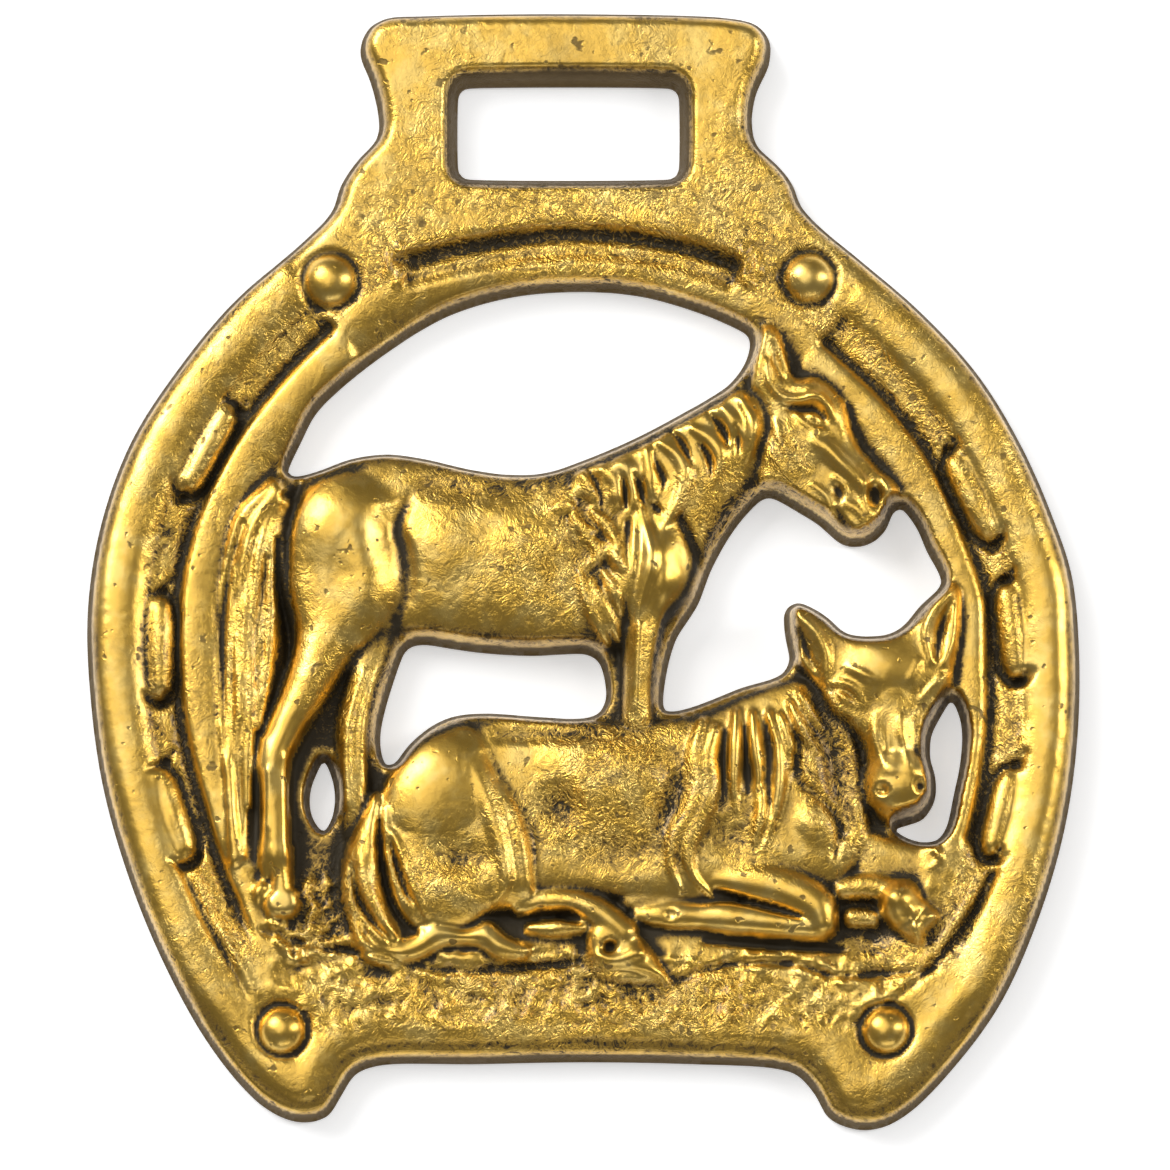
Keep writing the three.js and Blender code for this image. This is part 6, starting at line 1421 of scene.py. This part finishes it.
# ---------------------------------------------------------------- the casting's mesh
@dataclass
class Casting:
    """The whole brass as one closed skin.

    `lean` and `slot_lean` are rows of distance in from the edge and greatest height there,
    and `sinks` rows of radius and weight for the hollows.
    """

    node: bpy.types.Object
    low: Row = (-41.0, -45.2)
    high: Row = (41.0, 46.4)
    cell: float = 0.224
    edge_reach: float = 4.0
    outer_reach: float = 7.0
    draft: float = 0.6
    slot_draft: float = 0.95
    land: float = 0.5
    lean: Rows = ((0, 0.5), (0.6, 3.0), (0.9, 4.7), (1.3, 6.6))
    slot_lean: Rows = ((0, 1.6), (0.95, 3.2), (1.45, 4.2), (3.0, 7.0))
    crest: float = 0.6
    slot_crest: float = 0.3
    sinks: Rows = ((0.35, 1.8), (1.1, 0.9), (2.8, 0.3))
    metal_from: float = 0.9
    rim_share: float = 0.4
    rim_fade: Row = (0.5, 0.9)
    wall_fade: float = 0.3
    slot_wall_fade: float = 0.25
    foot_hollow: float = 0.4
    snap: float = 0.3
    least_slope: float = 0.3
    back_pitch: float = 1.3
    row_pitch: float = 0.87
    merge: float = 1e-7
    flattest: float = 1e-9
    clear_of_border: float = 0.6
    taller: float = TALLER

    def build(self) -> bpy.types.Object:
        """Carves the relief, skins it and dresses it.

        Returns:
            The finished object, in metres.
        """
        outlines = Outlines(self.node, taller=self.taller)
        relief = Relief(self.low, self.high, self.cell)
        inside = outlines.inside(relief, self.edge_reach)
        outer = relief.distance(spline(outlines.loops[0], True, STEP), self.outer_reach)
        shoe, mare, foal, ground = Horseshoe(), Mare(), Foal(), Ground()
        depth = shoe.carve(relief, outer)
        before = relief.z.copy()
        mare.carve(relief)
        foal.carve(relief)
        ground.carve(relief, depth, before)
        shoe.finish(relief)
        relief.z = relief.softened(relief.z)
        grain = ground.grain(relief, depth)
        ground.skin(relief, grain)
        relief.z = soft_min(relief.z, section(self.lean)(np.clip(inside, 0, None)), self.crest)
        slot = spline(outlines.loops[outlines.slot], True, STEP)
        off_slot = -relief.distance(slot, self.edge_reach)
        bevel = section(self.slot_lean)(np.clip(off_slot, 0, None))
        relief.z = soft_min(relief.z, bevel, self.slot_crest)
        hollow = self.hollows(relief, inside)
        wall = np.maximum(fade(inside, self.draft, -self.wall_fade),
                          fade(off_slot, self.slot_draft, -self.slot_wall_fade))
        values = {"hollow": hollow, "wall": wall, "grain": grain}
        obj = self.skin(relief, inside, values, outlines.origin)
        obj.data.materials.append(OldBrass().make())
        return obj

    def hollows(self, relief: Relief, inside: np.ndarray) -> np.ndarray:
        """How sunk each point is against its surroundings, from 0 to 1.

        Args:
            relief: The finished relief.
            inside: Distance in from the edges.

        Returns:
            The mean height of the metal nearby less the height, over three radii, and less
            of it close to an edge.
        """
        metal = (inside > self.metal_from).astype(float)
        total = np.zeros(relief.z.shape)
        for radius, gain in self.sinks:
            share = np.maximum(relief.blurred(metal, radius), 0.05)
            near = relief.blurred(relief.z * metal, radius) / share
            total += gain * (near - relief.z)
        kept = self.rim_share + (1.0 - self.rim_share) * fade(inside, *self.rim_fade)
        return np.clip(total, 0.0, 1.0) * kept

    def slid(self, relief: Relief, inside: np.ndarray) -> tuple[np.ndarray, ...]:
        """Grid points, with those close to the edge moved onto it along the gradient.

        Args:
            relief: The heights.
            inside: Distance in from the edges.

        Returns:
            x, y, height and distance in, each with one value for every point.
        """
        gy, gx = np.gradient(inside, self.cell)
        length = np.maximum(np.hypot(gx, gy), self.least_slope)
        near = np.abs(inside) < self.snap * self.cell
        slide = np.where(near, -inside / length, 0.0)
        x = (relief.x + slide * gx / length).ravel()
        y = (relief.y + slide * gy / length).ravel()
        d = np.where(near, 0.0, inside).ravel()
        return x, y, np.where(d > 0, relief.z.ravel(), self.land), d

    @staticmethod
    def cells(rows: int, cols: int) -> np.ndarray:
        """Triangles of a grid.

        Args:
            rows: Points up.
            cols: Points across.

        Returns:
            Two triangles for every cell, split along one diagonal or the other by turns.
        """
        index = np.arange(rows * cols).reshape(rows, cols)
        a, b, c, e = (index[:-1, :-1].ravel(), index[:-1, 1:].ravel(), index[1:, 1:].ravel(),
                      index[1:, :-1].ravel())
        odd = (np.add.outer(np.arange(rows - 1), np.arange(cols - 1)) % 2 == 1).ravel()
        return np.vstack([np.column_stack([a, b, np.where(odd, e, c)]),
                          np.column_stack([np.where(odd, b, a), c, e])])

    def skin(self, relief: Relief, inside: np.ndarray, values: dict[str, np.ndarray],
             origin: np.ndarray) -> bpy.types.Object:
        """Closed mesh under the relief, trimmed where `inside` falls to 0.

        Triangles of the grid that cross the edge are cut there. A short upright land and the
        flat back close the skin.

        Args:
            relief: The heights.
            inside: Distance in from the edges.
            values: Named values for the vertices.
            origin: Place of the forms' origin in the row's frame.

        Returns:
            The object, with one float attribute for each named value.
        """
        x, y, z, d = self.slid(relief, inside)
        rows, cols = inside.shape
        tris = self.cells(rows, cols)
        tris = tris[(d[tris] > 0).any(axis=1)]
        crossing = (d[tris] < 0).any(axis=1)
        whole, cut = tris[~crossing], tris[crossing]
        single = (d[cut] > 0).sum(axis=1, keepdims=True) == 1
        turn = np.argmax(np.where(single, d[cut] > 0, d[cut] < 0), axis=1)
        cut = np.take_along_axis(cut, (turn[:, None] + np.arange(3)) % 3, axis=1)
        sign = np.sign(d[cut])
        one = (sign > 0).sum(axis=1) == 1
        tip, left, right = cut[one].T
        quad = cut[~one]
        keys = np.vstack([np.column_stack([tip, left])[sign[one][:, 1] < 0],
                          np.column_stack([tip, right])[sign[one][:, 2] < 0],
                          quad[:, [0, 1]], quad[:, [0, 2]]])
        keys = np.unique(np.sort(keys, axis=1), axis=0)
        code = keys[:, 0] * (rows * cols) + keys[:, 1]

        def crossing_point(p: np.ndarray, q: np.ndarray) -> np.ndarray:
            """Finds the cut vertex on each edge.

            Args:
                p: Ends on one side of the border.
                q: Ends on the other side, or on it.

            Returns:
                Numbers of the cut vertices, or q itself where q is on the border already.
            """
            lo, hi = np.minimum(p, q), np.maximum(p, q)
            at = np.clip(np.searchsorted(code, lo * (rows * cols) + hi), 0, len(code) - 1)
            return np.where(d[q] == 0, q, rows * cols + at)

        faces = [whole, np.column_stack([tip, crossing_point(tip, left), crossing_point(tip, right)])]
        out, first, second = quad.T
        near_first, near_second = crossing_point(out, first), crossing_point(out, second)
        faces += [np.column_stack([first, second, near_second]),
                  np.column_stack([first, near_second, near_first])]
        p, q = keys.T
        t = d[p] / (d[p] - d[q])
        points = np.column_stack([np.append(x, x[p] + (x[q] - x[p]) * t),
                                  np.append(y, y[p] + (y[q] - y[p]) * t),
                                  np.append(z, np.full(len(keys), self.land))])
        named = {k: np.append(v.ravel(), v.ravel()[p] + (v.ravel()[q] - v.ravel()[p]) * t)
                 for k, v in values.items()}
        return self.close(points, np.vstack(faces), named, origin)

    def close(self, points: np.ndarray, faces: np.ndarray, named: dict[str, np.ndarray],
              origin: np.ndarray) -> bpy.types.Object:
        """Adds the land and the back under an open face, and makes the object.

        Args:
            points: Vertices of the face.
            faces: Its triangles.
            named: Values at its vertices.
            origin: Place of the forms' origin in the row's frame.

        Returns:
            The object.
        """
        used, faces = np.unique(faces, return_inverse=True)
        points, faces = points[used], faces.reshape(-1, 3)
        named = {k: v[used] for k, v in named.items()}
        count = len(points)
        edges = np.vstack([faces[:, [0, 1]], faces[:, [1, 2]], faces[:, [2, 0]]])
        back_code = edges[:, 1] * count + edges[:, 0]
        border = edges[~np.isin(edges[:, 0] * count + edges[:, 1], back_code)]
        ring, flat = np.unique(border, return_inverse=True)
        flat = flat.reshape(-1, 2)
        feet = points[ring] * (1, 1, 0)
        lower = flat + count
        land = np.vstack([np.column_stack([border[:, 1], border[:, 0], lower[:, 0]]),
                          np.column_stack([border[:, 1], lower[:, 0], lower[:, 1]])])
        feet = np.vstack([feet, self.spread(feet, flat)])
        back = self.back(feet, flat)
        everything = np.vstack([points, feet])
        everything[:, :2] = everything[:, :2] * (1.0, self.taller) + origin
        mesh = bpy.data.meshes.new("mare_and_foal_brass")
        skin = np.vstack([faces, land, back + count])
        mesh.from_pydata((everything * MM).tolist(), [], skin.tolist())
        for name, value in named.items():
            data = mesh.attributes.new(name, "FLOAT", "POINT").data
            foot = np.full(len(feet), 1.0 if name == "wall" else self.foot_hollow)
            data.foreach_set("value", np.concatenate([value, foot]).astype(np.float32))
        smooth = np.ones(len(mesh.polygons), dtype=bool)
        smooth[len(faces) + len(land):] = False
        mesh.polygons.foreach_set("use_smooth", smooth)
        LOG.info("casting: %d triangles", len(mesh.polygons))
        obj = bpy.data.objects.new("mare_and_foal_brass", mesh)
        bpy.context.scene.collection.objects.link(obj)
        return obj

    def back(self, feet: np.ndarray, flat: np.ndarray) -> np.ndarray:
        """Triangles of the flat back, facing down.

        Args:
            feet: Points of the back.
            flat: Both ends of each border edge, as numbers of points.

        Returns:
            The triangles inside the borders, less slivers with an edge that is neither
            shared nor on a border.
        """
        flat_points, _, back, *_ = delaunay_2d_cdt([Vector(f[:2]) for f in feet.tolist()],
                                                   flat.tolist(), [], 0, self.merge)
        back = np.asarray([f for f in back if len(f) == 3])
        middle = feet[back][:, :, :2].mean(axis=1)
        keep = self.within(middle, feet[flat][:, :, :2])
        back = back[keep]
        corner = feet[back][:, :, :2]
        spin = np.cross(corner[:, 1] - corner[:, 0], corner[:, 2] - corner[:, 0])
        back = np.where((spin > 0)[:, None], back[:, ::-1], back)[np.abs(spin) > self.flattest]
        sides = np.sort(np.stack([back, np.roll(back, -1, axis=1)], axis=2), axis=2)
        sides = sides[:, :, 0] * len(feet) + sides[:, :, 1]
        _, place, times = np.unique(sides, return_inverse=True, return_counts=True)
        rim = np.sort(flat, axis=1)
        rim = rim[:, 0] * len(feet) + rim[:, 1]
        lone = (times[place].reshape(sides.shape) == 1) & ~np.isin(sides, rim)
        back = back[~lone.any(axis=1)]
        LOG.info("back: %d triangles, %d points lost", len(back), len(feet) - len(flat_points))
        return back

    def spread(self, feet: np.ndarray, flat: np.ndarray) -> np.ndarray:
        """Points in staggered rows over the back, so that its faces aren't long needles.

        Args:
            feet: Points round the borders of the back.
            flat: Both ends of each border edge, as numbers of points.

        Returns:
            The points that lie inside and not too near a border.
        """
        steps = np.arange(-60, 61)
        x, y = np.meshgrid(steps * self.back_pitch, steps * self.back_pitch * self.row_pitch)
        x = x + (steps % 2)[:, None] * self.back_pitch / 2
        spots = np.stack([x, y, y * 0], axis=2).reshape(-1, 3)
        spots = spots[self.within(spots, feet[flat][:, :, :2])]
        near = np.array([np.hypot(*(feet - spot)[:, :2].T).min() for spot in spots])
        return spots[near > self.clear_of_border * self.back_pitch]

    @staticmethod
    def within(points: np.ndarray, edges: np.ndarray) -> np.ndarray:
        """Which points lie inside a set of closed borders, by counting crossings.

        Args:
            points: Points to test.
            edges: Both ends of each border edge.

        Returns:
            True where an odd number of edges lies to the right.
        """
        inside = np.zeros(len(points), dtype=bool)
        for a, b in edges:
            near = (a[1] > points[:, 1]) != (b[1] > points[:, 1])
            at = (b[0] - a[0]) * (points[near, 1] - a[1]) / (b[1] - a[1]) + a[0]
            inside[near] ^= points[near, 0] < at
        return inside


# ---------------------------------------------------------------- studio
@dataclass
class Studio:
    """Camera, floor and soft lights."""

    target: tuple[float, float, float] = (0.14, -1.77, 3.6)
    elevation: float = 82.0
    lens: float = 400.0
    span: float = 93.6
    sensor: float = 36.0
    floor_half: float = 3.0
    floor_drop: float = 0.00002
    surround: float = 0.14
    lights: Sequence[tuple[str, Row, Row, float]] = (
        ("left_box", (-0.70, 0.62, 0.72), (0.6, 0.6), 9.0),
        ("right_box", (0.85, 0.20, 0.55), (0.22, 0.7), 3.2),
        ("front_box", (0.15, -0.95, 0.45), (0.9, 0.2), 1.0),
        ("ceiling", (-0.28, 0.30, 1.2), (0.95, 0.95), 3.5))

    def camera(self) -> None:
        """Places the camera above the face, a little towards the heels."""
        data = bpy.data.cameras.new("camera")
        data.lens, data.sensor_width = self.lens, self.sensor
        far = self.span * self.lens / self.sensor
        lift = math.radians(self.elevation)
        look = Vector((0, -math.cos(lift), math.sin(lift)))
        obj = bpy.data.objects.new("camera", data)
        obj.location = (Vector(self.target) + look * far) * MM
        obj.rotation_euler = look.to_track_quat("Z", "Y").to_euler()
        data.clip_start = 0.01
        bpy.context.scene.collection.objects.link(obj)
        bpy.context.scene.camera = obj

    def floor(self) -> None:
        """Lays a large plain floor under the brass."""
        mesh = bpy.data.meshes.new("floor")
        half, low = self.floor_half, -self.floor_drop
        corners = [(-half, -half, low), (half, -half, low), (half, half, low), (-half, half, low)]
        mesh.from_pydata(corners, [], [(0, 1, 2, 3)])
        mesh.materials.append(PaleFloor().make())
        obj = bpy.data.objects.new("floor", mesh)
        bpy.context.scene.collection.objects.link(obj)

    def light(self, name: str, place: Row, size: Row, power: float) -> None:
        """Adds a soft box aimed at the brass.

        Args:
            name: Its name.
            place: Where it stands, in metres.
            size: Its width and height, in metres.
            power: Watts.
        """
        data = bpy.data.lights.new(name, "AREA")
        data.shape, data.size, data.size_y, data.energy = "RECTANGLE", size[0], size[1], power
        obj = bpy.data.objects.new(name, data)
        obj.location = place
        obj.rotation_euler = Vector(place).to_track_quat("Z", "Y").to_euler()
        bpy.context.scene.collection.objects.link(obj)

    def build(self) -> None:
        """Sets up the camera, the floor, the lights and the pale surround."""
        self.camera()
        self.floor()
        for light in self.lights:
            self.light(*light)
        world = bpy.data.worlds.new("surround")
        world.use_nodes = True
        inputs = world.node_tree.nodes["Background"].inputs
        inputs[0].default_value, inputs[1].default_value = (1, 1, 1, 1), self.surround
        bpy.context.scene.world = world
        bpy.context.scene.view_settings.view_transform = "Standard"


def main() -> None:
    """Builds the studio and the brass."""
    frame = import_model()
    Studio().build()
    node = frame["nodes"]["horse_brass"]
    brass = Casting(node).build()
    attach(brass, "root")
    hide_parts("horse_brass")
    LOG.info("built %s", brass.name)


if __name__ == "__main__":
    logging.basicConfig(level=logging.INFO)
    main()
